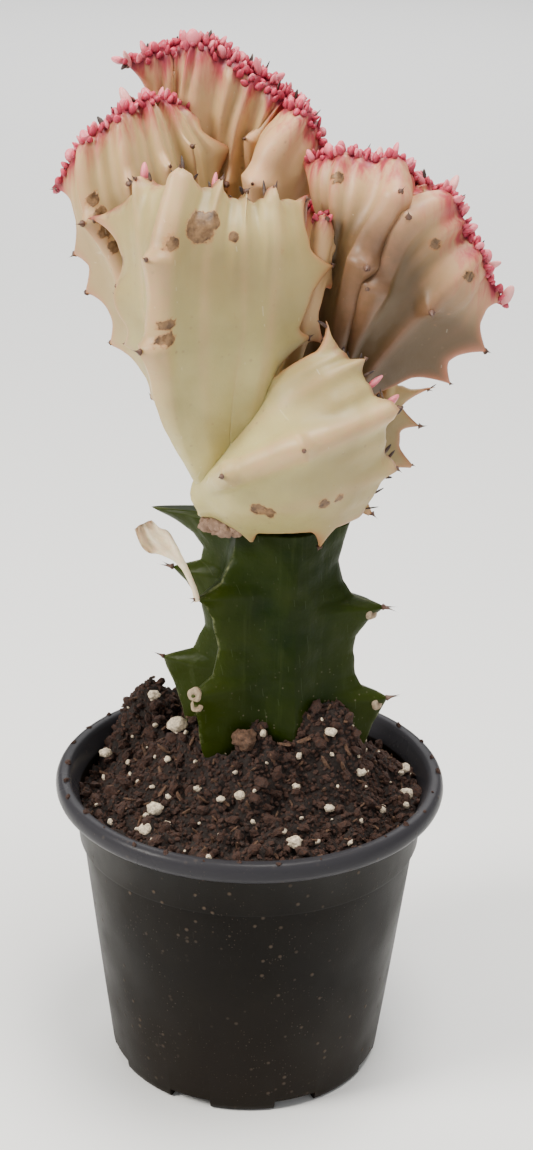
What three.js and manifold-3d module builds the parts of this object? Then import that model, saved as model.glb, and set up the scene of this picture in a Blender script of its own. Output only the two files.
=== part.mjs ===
// Potted crested euphorbia: a pale, fan-shaped crest grafted on a green winged rootstock,
// standing in potting mix in a black nursery pot.
// Millimetres, +Z up. The origin is the centre of the pot's underside, and -Y is the front.
import * as THREE from "three";
import { mergeVertices } from "three/addons/utils/BufferGeometryUtils.js";
import Module from "manifold-3d";

const wasm = await Module();
wasm.setup();

// ---------------------------------------------------------------- driving dimensions
const GAP = 0.3; // clearance between pieces that touch on the real plant

const POT_HEIGHT = 93;
const POT_FOOT_RADIUS = 41;
const POT_WALL_RADIUS = 49.6; // outside of the wall where it meets the collar
const POT_COLLAR_STEP = 1.2; // how far the collar stands out from the wall
const POT_COLLAR_FLARE = 1.2; // and how much wider it gets up to the rim
const POT_COLLAR_HEIGHT = 20.5; // from the collar's lower edge to the top of the rim
const POT_RIM_OVERHANG = 5.5; // how far the rim stands out from the collar
const POT_RIM_HEIGHT = 6;
const POT_WALL = 1.4;
const POT_FLOOR = 2;
const POT_SIDES = 64;
const DRAIN_COUNT = 8;
const DRAIN_WIDTH = 13;
const DRAIN_DEPTH = 8; // how far each drain slot runs in from the wall
const DRAIN_HEIGHT = 3.2;

const SOIL_BELOW_RIM = 6; // soil level at the wall, under the top of the rim
const SOIL_MOUND = 24; // how far the mix rises from the wall to the stem
const SOIL_LUMP = 1.3; // height of the lumps on the mix

const STEM_HEIGHT = 79.5; // from the top of the rim to the graft
const STEM_BURIED = 38; // how far the stem goes down below the top of the rim
const STEM_CORE = 12.6; // radius of the stem between its ribs
const STEM_OFFSET = [7.5, 0]; // the stem's axis, off the pot's own axis
const STEM_SCALE = 1; // reach of the ribs

const CREST_SCALE = 1; // size of the crest about the graft
const CREST_BASE = [20, 13.5, 12]; // half axes of the crest's thick foot

const RIM_Z = POT_HEIGHT;
const GRAFT_Z = RIM_Z + STEM_HEIGHT;
const SOIL_EDGE_Z = RIM_Z - SOIL_BELOW_RIM;

// ---------------------------------------------------------------- colours
const colour = {
  pot: [0x1d1a17, 0.45],
  mix: [0x2e1f18, 0.95],
  stem: [0x31480f, 0.5],
  crest: [0xcdbf94, 0.55],
  callus: [0x8e6f56, 0.95],
  leaf: [0xe9d8b6, 0.9],
  spine: [0x2c1a1a, 0.6],
  scar: [0xc9b49a, 0.9],
  perlite: [0xe6ddcb, 0.9],
};
const paint = ([hex, roughness]) => new THREE.MeshStandardMaterial({ color: hex, roughness, metalness: 0 });

// ---------------------------------------------------------------- solids
// A geometry as a manifold-3d solid: only its positions are kept, and shared corners are merged.
function solid(geometry) {
  const g = geometry.index ? geometry.toNonIndexed() : geometry.clone();
  g.deleteAttribute("normal");
  g.deleteAttribute("uv");
  const merged = mergeVertices(g, 1e-3);
  return new wasm.Manifold(
    new wasm.Mesh({
      numProp: 3,
      vertProperties: merged.attributes.position.array,
      triVerts: new Uint32Array(merged.index.array),
    }),
  );
}

function geometryOf(manifold) {
  const mesh = manifold.getMesh();
  const g = new THREE.BufferGeometry();
  g.setAttribute("position", new THREE.BufferAttribute(new Float32Array(mesh.vertProperties), 3));
  g.setIndex(new THREE.BufferAttribute(new Uint32Array(mesh.triVerts), 1));
  return g;
}

// Closed skin over a stack of rings that all have the same number of points. The first ring is capped with
// a flat fan of faces; so is the last, unless its points already meet in pairs along a line.
function loft(rings, lastIsLine = false) {
  const count = rings[0].length;
  const points = rings.flat();
  const index = [];
  for (let j = 0; j + 1 < rings.length; j++) {
    for (let i = 0; i < count; i++) {
      const a = j * count + i;
      const b = j * count + ((i + 1) % count);
      index.push(a, b, b + count, a, b + count, a + count);
    }
  }
  const cap = (ring, first, flip) => {
    const centre = ring.reduce((sum, p) => sum.add(p), new THREE.Vector3()).divideScalar(ring.length);
    const hub = points.push(centre) - 1;
    for (let i = 0; i < count; i++) {
      const next = first + ((i + 1) % count);
      if (flip) index.push(hub, next, first + i);
      else index.push(hub, first + i, next);
    }
  };
  cap(rings[0], 0, true);
  if (!lastIsLine) cap(rings.at(-1), (rings.length - 1) * count, false);
  const g = new THREE.BufferGeometry().setFromPoints(points);
  g.setIndex(index);
  return g;
}

const vector = ([x, y, z]) => new THREE.Vector3(x, y, z);
const clamp01 = (x) => Math.min(1, Math.max(0, x));
const smooth = (a, b, x) => {
  const t = clamp01((x - a) / (b - a));
  return t * t * (3 - 2 * t);
};
const lerp = (a, b, t) => a + (b - a) * t;

// Straight-line reading of [position, value] pairs in rising order of position.
function readOff(pairs, x) {
  if (x <= pairs[0][0]) return pairs[0][1];
  for (let i = 1; i < pairs.length; i++) {
    const [x1, y1] = pairs[i];
    const [x0, y0] = pairs[i - 1];
    if (x <= x1) return lerp(y0, y1, (x - x0) / (x1 - x0));
  }
  return pairs.at(-1)[1];
}

// ---------------------------------------------------------------- pot
const collarZ = POT_HEIGHT - POT_COLLAR_HEIGHT;
const rimUnderZ = POT_HEIGHT - POT_RIM_HEIGHT;
const collarRadius = POT_WALL_RADIUS + POT_COLLAR_STEP;
const collarTopRadius = collarRadius + POT_COLLAR_FLARE;
const rimRadius = collarTopRadius + POT_RIM_OVERHANG;
const rimInnerRadius = collarTopRadius + 0.6;

// Inside radius of the wall at a height, where the mix meets it.
function potInside(z) {
  const outside = readOff(
    [
      [0, POT_FOOT_RADIUS],
      [collarZ - 1, POT_WALL_RADIUS],
      [collarZ + 1, collarRadius],
      [rimUnderZ, collarTopRadius],
    ],
    z,
  );
  return outside - POT_WALL;
}

function potGeometry() {
  const profile = [
    [0, 0],
    [POT_FOOT_RADIUS - 1.5, 0],
    [POT_FOOT_RADIUS, 1.5],
    [POT_WALL_RADIUS, collarZ],
    [collarRadius, collarZ + 0.8],
    [collarTopRadius, rimUnderZ],
    [rimRadius - 0.8, rimUnderZ],
    [rimRadius, rimUnderZ + 1.4],
    [rimRadius, POT_HEIGHT - 2.2],
    [rimRadius - 1.4, POT_HEIGHT - 0.5],
    [rimRadius - 3, POT_HEIGHT],
    [rimInnerRadius + 0.6, POT_HEIGHT - 0.6],
    [rimInnerRadius, POT_HEIGHT - 2],
    [potInside(rimUnderZ), rimUnderZ],
    [potInside(collarZ + 1), collarZ + 1],
    [potInside(collarZ - 1), collarZ - 1],
    [potInside(POT_FLOOR), POT_FLOOR],
    [0, POT_FLOOR],
  ];
  const lathe = new THREE.LatheGeometry(
    profile.map(([r, z]) => new THREE.Vector2(r, z)),
    POT_SIDES,
  );
  lathe.rotateX(Math.PI / 2);
  let pot = solid(lathe);
  for (let i = 0; i < DRAIN_COUNT; i++) {
    const slot = new THREE.BoxGeometry(DRAIN_DEPTH * 2, DRAIN_WIDTH, DRAIN_HEIGHT * 2);
    slot.translate(POT_FOOT_RADIUS, 0, 0);
    slot.rotateZ(((i + 0.5) * 2 * Math.PI) / DRAIN_COUNT);
    pot = pot.subtract(solid(slot));
  }
  return geometryOf(pot);
}

// ---------------------------------------------------------------- rootstock
// Each rib is a wing at an azimuth in degrees. Its outline is [height above the rim, reach from the axis]:
// long slopes that climb to a tooth, and a short step back above it. root is half its thickness at the core.
const STEM_RIBS = [
  {
    azimuth: -6,
    root: 9,
    outline: [
      [-38, 11], [-4, 21], [17, 29], [25.7, 32.4], [29, 25], [40, 22.6], [48, 24.5], [54.5, 30], [57.3, 21],
      [68, 17.2], [80, 19.6],
    ],
  },
  {
    azimuth: 80,
    root: 9,
    outline: [[-38, 11], [0, 20], [24, 25], [33.5, 31], [36.7, 24], [52, 21], [62, 30], [65, 22], [80, 18]],
  },
  {
    azimuth: 170,
    root: 8,
    outline: [
      [-38, 11], [-2, 22], [22, 30.8], [33.5, 34.3], [36.7, 26], [45, 23], [54.5, 25], [62, 31.8], [65, 24],
      [69, 24], [80, 37.5],
    ],
  },
  {
    azimuth: 219,
    root: 8,
    outline: [
      [-38, 11], [-2, 22], [15.5, 27.5], [33.5, 31.8], [36.7, 25], [45, 22.5], [54.5, 24], [62, 29.2],
      [65, 21.4], [72, 18], [80, 16.5],
    ],
  },
  {
    azimuth: 288,
    root: 10,
    outline: [[-38, 11], [-2, 17], [20, 17], [50, 15], [80, 15.5]],
  },
];
const RIB_LIP = 1.3; // half a rib's thickness at its edge
const STEM_LEVELS = [-38, -16, 2, 15.5, 22, 25.7, 29, 33.5, 36.7, 45, 54.5, 57.3, 62, 65, 69, 74, 80];
const STEM_TOP_LEVEL = STEM_LEVELS.at(-1);
const RIB_SHARE = [-34, -21, -11, -4, 0, 4, 11, 21, 34]; // degrees off a rib where the skin has a point

function stemReach(azimuth, level, extra = 0) {
  const core = STEM_CORE * lerp(0.8, 1, smooth(-38, 0, level));
  let reach = core;
  for (const rib of STEM_RIBS) {
    const away = Math.abs(((azimuth - rib.azimuth + 540) % 360) - 180);
    const tip = readOff(rib.outline, level) * STEM_SCALE;
    if (away > 80 || tip <= core + 0.5) continue;
    const taper = (rib.root - RIB_LIP) / (tip - core);
    const side = (rib.root + taper * core) / (Math.sin(THREE.MathUtils.degToRad(away)) + taper);
    reach = Math.max(reach, Math.min(tip, side));
  }
  return reach + extra;
}

function stemHeight(level) {
  return level >= 0 ? RIM_Z + (level / STEM_TOP_LEVEL) * STEM_HEIGHT : RIM_Z + (level / 38) * STEM_BURIED;
}

function stemGeometry(extra = 0) {
  const all = STEM_RIBS.flatMap((rib) => RIB_SHARE.map((d) => (rib.azimuth + d + 360) % 360));
  all.push(125);
  all.sort((a, b) => a - b);
  const azimuths = all.filter((azimuth, i) => i === 0 || azimuth - all[i - 1] > 3);
  const rings = STEM_LEVELS.map((level, n) => {
    const rise = n === 0 ? -extra : n === STEM_LEVELS.length - 1 ? extra : 0;
    return azimuths.map((azimuth) => {
      const reach = stemReach(azimuth, level, extra);
      const a = THREE.MathUtils.degToRad(azimuth);
      return vector([
        STEM_OFFSET[0] + reach * Math.cos(a),
        STEM_OFFSET[1] + reach * Math.sin(a),
        stemHeight(level) + rise,
      ]);
    });
  });
  return loft(rings);
}

// A point on a rib's edge, and the way it faces.
function stemTooth(azimuth, level) {
  const a = THREE.MathUtils.degToRad(azimuth);
  const out = vector([Math.cos(a), Math.sin(a), 0.12]).normalize();
  const reach = stemReach(azimuth, level);
  const [x, y] = [STEM_OFFSET[0] + reach * Math.cos(a), STEM_OFFSET[1] + reach * Math.sin(a)];
  return { place: vector([x, y, stemHeight(level)]), out };
}

// ---------------------------------------------------------------- crest
// Each fan opens from the graft. Its ribs run from the foot to the growing margin, as [x, y, z] points from
// the graft's centre. ridge is how far a rib stands off the fan's face, and teeth are shares of its length.
const CREST_FANS = [
  {
    name: "left",
    thickness: [4.4, 3.0],
    ribs: [
      {
        teeth: [0.3, 0.5, 0.68, 0.8, 1],
        path: [
          [-16, 7, 11], [-30, 11, 27], [-44.5, 15, 46], [-53, 14, 66],
          [-57.5, 14, 81], [-60.5, 15, 93.5],
        ],
      },
      {
        teeth: [0.6, 0.8], ridge: 2.2,
        path: [[-16, 7, 11], [-30, 6, 34], [-43, 7, 67], [-52.5, 8, 88], [-53, 11, 103]],
      },
      {
        teeth: [0.83], ridge: 2.2,
        path: [[-14, 7, 11], [-26, 7, 35], [-36, 8, 67], [-42, 7, 92], [-45.5, 11, 109.8]],
      },
      {
        teeth: [0.83], ridge: 2.2,
        path: [[-13, 7, 11], [-22, 8, 35], [-28, 11, 66], [-34, 9, 95], [-39.5, 14, 112.8]],
      },
      {
        teeth: [0.87], ridge: 1.8,
        path: [[-12, 9, 10], [-17, 11, 34], [-23, 15, 62], [-28, 13, 97], [-35, 16, 112.8]],
      },
      {
        teeth: [0.86, 1],
        path: [[-10, 11, 10], [-14, 15, 33], [-17, 20, 67], [-20, 18, 93], [-22, 17, 102], [-30, 19, 111]],
      },
    ],
  },
  {
    name: "crown",
    thickness: [5.5, 3.6],
    ribs: [
      {
        teeth: [0.8, 1],
        path: [[-16, 12, 12], [-27, 20, 43], [-34, 24, 76], [-38.5, 24, 108], [-39, 22, 124]],
      },
      {
        teeth: [0.75], ridge: 1.8,
        path: [[-14, 12, 12], [-22, 22, 43], [-28, 27, 76], [-31, 27, 107], [-31.5, 24, 125.8]],
      },
      {
        teeth: [0.77], ridge: 2.4,
        path: [[-12, 12, 12], [-18, 22, 43], [-23, 27, 76], [-25, 24, 107], [-23, 22, 127.8]],
      },
      {
        teeth: [0.74], ridge: 2.6,
        path: [[-9, 12, 12], [-12, 22, 43], [-16, 26, 76], [-14, 23, 104], [-9, 20, 119.8]],
      },
      {
        teeth: [0.88], ridge: 2.0,
        path: [[-6, 12, 12], [-7, 22, 43], [-9, 25, 77], [-6, 22, 100], [0, 18, 114]],
      },
      {
        teeth: [0.8], ridge: 2.8,
        path: [[-4, 11, 13], [-3, 16, 45], [-5, 12, 77], [-4, 10, 97], [5.5, 14, 110]],
      },
      {
        teeth: [0.9, 1],
        path: [[-2, 11, 13], [2, 17, 45], [5, 14, 77], [6, 12, 93], [8.5, 14, 103.5]],
      },
    ],
  },
  {
    name: "right",
    thickness: [5.8, 3.6],
    ribs: [
      { teeth: [1], path: [[1, 4, 12], [4, 7, 48], [9, 5, 80], [6, 5, 94], [8, 7, 100.4]] },
      {
        teeth: [0.7], ridge: 1.4,
        path: [[3, 3, 13], [10, 2, 52], [15, -2, 82], [13, -2, 94], [15, 2, 101.8]],
      },
      {
        teeth: [0.73, 0.9], ridge: 3.0,
        path: [[4, 3, 13], [14, 0, 50], [21, -7, 81], [26, -5, 93.5], [25, 0, 100]],
      },
      {
        teeth: [0.95], ridge: 1.2,
        path: [[5, 2, 13], [18, 2, 49], [29, 0, 76], [32.5, 2, 88.5], [35, 4, 95]],
      },
      {
        teeth: [0.68, 0.86], ridge: 3.0,
        path: [[7, 2, 13], [19, 1, 48], [25, -6, 70], [33, -6, 86], [42.5, 0, 90.2]],
      },
      {
        teeth: [0.8], ridge: 2.6,
        path: [[8, 2, 13], [23, 1, 44], [35, -3, 63], [42.5, -6, 70.5], [49.6, 0, 77.4]],
      },
      {
        teeth: [0.62, 0.8, 1],
        path: [[10, 2, 13], [22, 3, 34], [33, 3, 40], [48.5, 2, 49], [54.8, 2, 62], [56.3, 3, 67.6]],
      },
    ],
  },
  {
    name: "front",
    thickness: [6.0, 3.4],
    ribs: [
      {
        teeth: [0.3, 0.56, 0.8, 1],
        path: [
          [-18, -4, 12], [-27, -7, 30], [-37, -8, 50],
          [-45.5, -7, 63.5], [-42, -7, 70], [-44.5, -6, 78.5], [-47, -4, 86],
        ],
      },
      {
        teeth: [1], ridge: 1.2,
        path: [[-19, -6, 13], [-26, -12, 36], [-34, -15, 61], [-36, -14, 81], [-36.8, -8, 93.8]],
      },
      {
        teeth: [0.55, 0.78, 1], ridge: 3.0,
        path: [[-18, -10, 13], [-27, -21, 37], [-30, -26, 63], [-29, -25, 84], [-26, -16, 96]],
      },
      {
        teeth: [1], ridge: 1.0,
        path: [[-16, -11, 13], [-21, -21, 37], [-22, -25, 64], [-21, -23, 84], [-19, -14, 94.5]],
      },
      {
        teeth: [1], ridge: 0.8,
        path: [[-14, -12, 14], [-15, -18, 36], [-12, -20, 63], [-12, -20, 83], [-12, -13, 90.8]],
      },
      {
        teeth: [1], ridge: 1.0,
        path: [[-12, -12, 14], [-9, -17, 36], [-5, -18, 63], [-4, -17, 83.5], [-5, -11, 92]],
      },
      {
        teeth: [0.3, 0.52, 0.78, 1],
        path: [[-10, -10, 16], [-6, -13, 42], [2, -12, 56], [7, -11, 69], [5, -9, 83], [1, -7, 91]],
      },
    ],
  },
  {
    name: "low_right",
    thickness: [6.0, 3.2],
    ribs: [
      {
        teeth: [0.4, 0.62, 1],
        path: [[-19, -8, 14.5], [-10, -13, 31], [-2, -16, 46], [6, -16, 52], [13, -14, 55]],
      },
      {
        teeth: [1], ridge: 0.8,
        path: [[-20, -9.5, 12.5], [-9, -20, 29], [2, -22, 41], [11, -20, 47], [18, -14, 49]],
      },
      {
        teeth: [0.36, 0.62, 1], ridge: 2.6,
        path: [[-20.5, -10.5, 10], [-11, -25, 22], [3, -30, 31], [15, -26, 35], [25, -17, 38]],
      },
      {
        teeth: [1], ridge: 0.8,
        path: [[-20, -9, 7.5], [-8, -24, 15], [4, -27, 20], [16, -24, 24], [24, -15, 26]],
      },
      {
        teeth: [0.3, 0.75],
        path: [[-18, -6.5, 4], [-9, -15, 4], [3, -20, 9], [13, -20, 12], [22, -14, 16]],
      },
    ],
  },
  {
    name: "low_back_right",
    thickness: [4.6, 2.8],
    ribs: [
      { teeth: [1], path: [[6, 2, 5], [14, 8, 15], [20, 9, 26], [24, 9, 32], [26, 9, 34]] },
      {
        teeth: [1], ridge: 1.2,
        path: [[7, 0, 5], [16, 6, 13], [23, 6, 24], [28, 6, 32], [30, 8, 37]],
      },
      {
        teeth: [0.3, 0.62, 0.85, 1],
        path: [[8, 0, 2], [20, 4, 3], [28, 6, 10], [33, 7, 19], [33, 7, 30], [35, 8, 36]],
      },
    ],
  },
  {
    name: "middle",
    thickness: [3.8, 2.4],
    ribs: [
      { teeth: [], path: [[-6, 0, 23], [-1, -1, 41], [3, -2, 58], [6, -3, 75], [7, -3, 85]] },
      {
        teeth: [1], ridge: 1.0,
        path: [[-4, -3, 25], [1, -5, 42], [6, -7, 63], [9, -7, 76], [10, -5, 87]],
      },
      {
        teeth: [0.6, 0.85, 1],
        path: [[-3, -2, 23], [3, -4, 44], [9, -6, 62], [11, -5, 74], [14, -3, 81]],
      },
    ],
  },
  {
    name: "rear",
    thickness: [5.2, 3.4],
    ribs: [
      { teeth: [0.5, 0.75, 1], path: [[-12, 8, 10], [-24, 20, 30], [-32, 32, 52], [-35, 38, 74]] },
      {
        teeth: [0.7], ridge: 2.4,
        path: [[-9, 9, 10], [-16, 26, 32], [-20, 38, 58], [-21, 42, 84]],
      },
      {
        teeth: [0.6, 0.85], ridge: 2.2,
        path: [[-5, 9, 10], [-6, 26, 32], [-6, 37, 58], [-6, 40, 86]],
      },
      { teeth: [0.75], ridge: 2.4, path: [[0, 9, 10], [5, 24, 31], [9, 36, 55], [10, 42, 79]] },
      { teeth: [0.5, 0.75, 1], path: [[4, 8, 10], [14, 18, 28], [21, 28, 48], [24, 35, 68]] },
    ],
  },
];
const CREST_FOOT_CENTRE = [-1.5, -1, 9.5];
const EDGE_TOOTH = 3.4; // how far a tooth stands out of a fan's side edge
const FACE_TOOTH = 2.0; // how far a tooth stands up on a face rib
const MARGIN_TOOTH = 0.8;
const PANEL_STEPS = [0, 0.3, 0.65]; // where the skin has points between one rib and the next
const EDGE_STEPS = [0, 0.12, 0.35, 0.65];
const FAN_LEVEL = 8.6; // height of one band of the skin

// Rib points by arc length, so that shares of a rib's length mean the same on every rib.
for (const rib of CREST_FANS.flatMap((fan) => fan.ribs)) {
  const spots = rib.path.map((p) => vector(p).multiplyScalar(CREST_SCALE));
  rib.curve = new THREE.CatmullRomCurve3(spots, false, "centripetal");
}
for (const fan of CREST_FANS) {
  const longest = Math.max(...fan.ribs.map((rib) => rib.curve.getLength()));
  fan.levels = Math.max(6, Math.round(longest / CREST_SCALE / FAN_LEVEL));
}
// A share of a rib's length, moved to the nearest band of the skin: teeth and spines then meet its corners.
const onLevel = (fan, share) => Math.round(share * fan.levels) / fan.levels;

function middle(fan, u, v) {
  const last = fan.ribs.length - 1;
  const k = Math.min(last - 1, Math.floor(u));
  const t = u - k;
  const at = (i) => fan.ribs[i].curve.getPointAt(clamp01(v));
  const b = at(k);
  const c = at(k + 1);
  const a = k > 0 ? at(k - 1) : b.clone().multiplyScalar(2).sub(c);
  const d = k + 1 < last ? at(k + 2) : c.clone().multiplyScalar(2).sub(b);
  const p = new THREE.Vector3();
  for (const axis of ["x", "y", "z"]) {
    const [p0, p1, p2, p3] = [a[axis], b[axis], c[axis], d[axis]];
    const square = 2 * p0 - 5 * p1 + 4 * p2 - p3;
    const cube = 3 * p1 - p0 - 3 * p2 + p3;
    p[axis] = 0.5 * (2 * p1 + (p2 - p0) * t + square * t * t + cube * t ** 3);
  }
  return p;
}

// A tooth climbs slowly from below and drops quickly above its tip.
function toothRise(fan, rib, v) {
  let rise = 0;
  for (const tip of rib.teeth) {
    const x = v - onLevel(fan, tip);
    const run = x < 0 ? 0.14 : 0.08;
    rise = Math.max(rise, clamp01(1 - Math.abs(x) / run) ** 2);
  }
  return rise;
}

// One point of a fan's skin: side is +1 for the front face, -1 for the back, and 0 for the middle.
function fanPoint(fan, u, v, side) {
  const last = fan.ribs.length - 1;
  const p = middle(fan, u, v);
  const step = 0.02;
  const [left, right] = [Math.max(0, u - step), Math.min(last, u + step)];
  const [under, over] = [Math.max(0, v - step), Math.min(1, v + step)];
  const across = middle(fan, right, v).sub(middle(fan, left, v)).normalize();
  const along = middle(fan, u, over).sub(middle(fan, u, under)).normalize();
  const normal = across.clone().cross(along).normalize();
  const k = Math.min(last - 1, Math.floor(u));
  const t = u - k;
  const fall = (x) => (1 - x) ** 3;
  const edge = Math.min(u, last - u);
  const round = Math.sqrt(1 - (1 - clamp01(edge / 0.4)) ** 2);
  const top = Math.sqrt(Math.max(0, 1 - clamp01((v - 0.93) / 0.07) ** 2));
  let half = lerp(fan.thickness[0], fan.thickness[1], Math.min(1, v * 1.3));
  for (const [i, x] of [[k, t], [k + 1, 1 - t]]) {
    const rib = fan.ribs[i];
    if (!rib.ridge) continue;
    half += fall(x) * (rib.ridge * smooth(0.05, 0.4, v) + FACE_TOOTH * toothRise(fan, rib, v));
  }
  p.addScaledVector(normal, side * half * round * top * CREST_SCALE);
  for (const [i, x, sign] of [[0, u, -1], [last, last - u, 1]]) {
    if (x >= 1) continue;
    p.addScaledVector(across, sign * EDGE_TOOTH * CREST_SCALE * fall(x) * toothRise(fan, fan.ribs[i], v));
  }
  p.addScaledVector(along, MARGIN_TOOTH * CREST_SCALE * smooth(0.9, 1, v) * (fall(t) + fall(1 - t)));
  return { place: p, normal: normal.clone().multiplyScalar(side || 1), along, across };
}

function fanSteps(fan) {
  const last = fan.ribs.length - 1;
  const steps = [];
  for (let k = 0; k < last; k++) {
    if (k === 0) steps.push(...EDGE_STEPS);
    else if (k === last - 1) steps.push(k, ...EDGE_STEPS.map((s) => last - s));
    else steps.push(...PANEL_STEPS.map((s) => k + s));
  }
  steps.push(last);
  return [...new Set(steps.map((s) => Math.round(s * 1000) / 1000))].sort((a, b) => a - b);
}

function fanGeometry(fan) {
  const steps = fanSteps(fan);
  const rings = [];
  for (let j = 0; j <= fan.levels; j++) {
    const v = j / fan.levels;
    const front = steps.map((u) => fanPoint(fan, u, v, 1).place);
    const back = steps.slice(1, -1).reverse().map((u) => fanPoint(fan, u, v, -1).place);
    rings.push([...front, ...back]);
  }
  return loft(rings, true);
}

const GRAFT = vector([STEM_OFFSET[0] - 0.5, STEM_OFFSET[1], GRAFT_Z]);
const FINEST = 0.03; // edges shorter than this are drawn together
const largest = (manifold) =>
  manifold
    .simplify(FINEST)
    .decompose()
    .sort((a, b) => b.volume() - a.volume())[0];

function crestSolid() {
  const foot = new THREE.SphereGeometry(1, 20, 12);
  foot.scale(...CREST_BASE.map((s) => s * CREST_SCALE));
  foot.translate(...CREST_FOOT_CENTRE.map((s) => s * CREST_SCALE));
  let crest = solid(foot);
  for (const fan of CREST_FANS) {
    crest = crest.add(solid(fanGeometry(fan)));
  }
  const below = new THREE.BoxGeometry(300, 300, 100);
  below.translate(0, 0, -50 + GAP);
  // The fans close off a few hollows between them: the outer skin alone is kept, so the flesh is solid.
  return largest(crest.subtract(solid(below))).translate(GRAFT.toArray());
}

// ---------------------------------------------------------------- small pieces
// Each is made about the origin, standing along +Z, then turned to face "out" and set down at "at".
// Every one carries a shape grown by the gap, which cuts its seat in whatever it stands on.
function seated(make, at, out) {
  const turn = new THREE.Quaternion().setFromUnitVectors(vector([0, 0, 1]), out.clone().normalize());
  const put = (extra) => solid(make(extra).applyQuaternion(turn).translate(at.x, at.y, at.z));
  return { body: put(0), seat: put(GAP) };
}

const SPINE_SINK = 0.7; // how far a spine's foot is let into the skin
function spine(length, radius, at, out, scale = 1) {
  const sink = SPINE_SINK * scale;
  const make = (extra) => {
    const g = new THREE.ConeGeometry(radius * scale + extra, length * scale + sink + extra, 6);
    return g.rotateX(Math.PI / 2).translate(0, 0, (length * scale - sink) / 2);
  };
  return seated(make, at, out);
}

// A round corky scar where a leaf or a shoot has dropped: a low disc with a hollow middle.
function scar(radius, at, out) {
  const make = (extra) => {
    const r = radius + extra;
    const profile = [
      [0, -0.9 - extra],
      [r, -0.9 - extra],
      [r * 1.08, 0.3],
      [r * 0.8, 1.1 + extra],
      [r * 0.4, 0.7 + extra],
      [0, 0.6 + extra],
    ];
    const edge = profile.map(([x, z]) => new THREE.Vector2(x, z));
    return new THREE.LatheGeometry(edge, 10).rotateX(Math.PI / 2);
  };
  return seated(make, at, out);
}

// A rough lump: a ball pushed about by a few waves, so that no two are alike.
function lump(size, seed, at, detail = 1) {
  const make = (extra) => {
    const g = new THREE.IcosahedronGeometry(1, detail);
    const p = g.attributes.position;
    for (let i = 0; i < p.count; i++) {
      const [x, y, z] = [p.getX(i), p.getY(i), p.getZ(i)];
      const wave = 1 + 0.14 * Math.sin(3.1 * x + 2.3 * seed) + 0.12 * Math.sin(4.3 * y - 1.7 * seed + 2 * z);
      p.setXYZ(i, x * wave * (size[0] + extra), y * wave * (size[1] + extra), z * wave * (size[2] + extra));
    }
    return g;
  };
  return seated(make, at, new THREE.Vector3(0, 0, 1));
}

// ---------------------------------------------------------------- potting mix
// Heaps on the mix: [x, y, height, spread].
const HEAPS = [
  [-32, 30, 20, 10],
  [-16, 38, 10, 10],
  [-20, -4, 5, 8],
  [23, -12, 19, 9],
  [33, 2, 5, 11],
  [2, -18, 7, 9],
  [2, -47, 4.5, 9],
  [-26, -34, 2.5, 9],
  [40, 22, -3, 10],
  [-45, 12, -3, 9],
];
const MIX_SIDES = 42;
const MIX_RINGS = [1, 0.955, 0.88, 0.78, 0.66, 0.54, 0.42, 0.3, 0.16]; // shares of the way out to the wall
const mixEdge = potInside(rimUnderZ) - GAP - 0.1;

function mixHeight(x, y) {
  const fromStem = Math.hypot(x - STEM_OFFSET[0] * 0.5, y);
  let z = SOIL_EDGE_Z + SOIL_MOUND * (1 - smooth(4, potInside(SOIL_EDGE_Z), fromStem));
  for (const [hx, hy, height, spread] of HEAPS) {
    z += height * Math.exp(-((x - hx) ** 2 + (y - hy) ** 2) / spread ** 2);
  }
  z += SOIL_LUMP * Math.sin(0.43 * x + 1.3) * Math.sin(0.39 * y + 0.4);
  z += SOIL_LUMP * 0.8 * Math.sin(0.83 * x - 0.31 * y + 2.1) * Math.cos(0.91 * y + 0.27 * x);
  return z;
}

// Height of the mix's faceted top at a place, read off its rings and spokes, so that what lies on the mix
// stays on it at any size.
function mixTop(x, y) {
  const share = Math.hypot(x, y) / mixEdge;
  const spoke = ((Math.atan2(y, x) / (2 * Math.PI) + 1) % 1) * MIX_SIDES;
  const inner = Math.max(1, MIX_RINGS.filter((s) => s > share).length);
  const at = (ring, i) => {
    const a = (i * 2 * Math.PI) / MIX_SIDES;
    const r = MIX_RINGS[ring] * mixEdge;
    return mixHeight(r * Math.cos(a), r * Math.sin(a));
  };
  const i = Math.floor(spoke);
  const [low, high] = [inner, inner - 1].map((ring) => lerp(at(ring, i), at(ring, i + 1), spoke - i));
  const t = (share - MIX_RINGS[inner]) / (MIX_RINGS[inner - 1] - MIX_RINGS[inner]);
  return lerp(low, high, clamp01(t));
}

function mixSolid(seats) {
  const ring = (radius, heightAt) =>
    Array.from({ length: MIX_SIDES }, (_, i) => {
      const a = (i * 2 * Math.PI) / MIX_SIDES;
      const [x, y] = [radius * Math.cos(a), radius * Math.sin(a)];
      return vector([x, y, heightAt(x, y)]);
    });
  const levels = [POT_FLOOR + GAP, collarZ - 1, collarZ + 1, rimUnderZ - 4];
  const wall = levels.map((z) => ring(potInside(z) - GAP, () => z));
  const top = MIX_RINGS.map((share) => ring(mixEdge * share, mixHeight));
  let mix = solid(loft([...wall, ...top])).subtract(solid(stemGeometry(GAP)));
  for (const seat of seats) mix = mix.subtract(seat);
  return largest(mix);
}

// White perlite grains lying in the top of the mix: [x, y, radius].
const GRAINS = [
  [-21.5, -4, 2.9],
  [-26.6, -27.5, 2.3],
  [-29, -34, 2.0],
  [-30, 25, 1.9],
  [-45, 17, 2.0],
  [13, -40, 2.3],
  [46, 5, 1.9],
  [46, -9, 2.0],
  [23, -17, 1.7],
  [-2.5, -29, 1.6],
  [23, -27, 1.5],
  [32, -17, 1.6],
  [12, 38, 2.0],
  [34, 28, 1.9],
  [-12, 42, 1.7],
];

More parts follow.
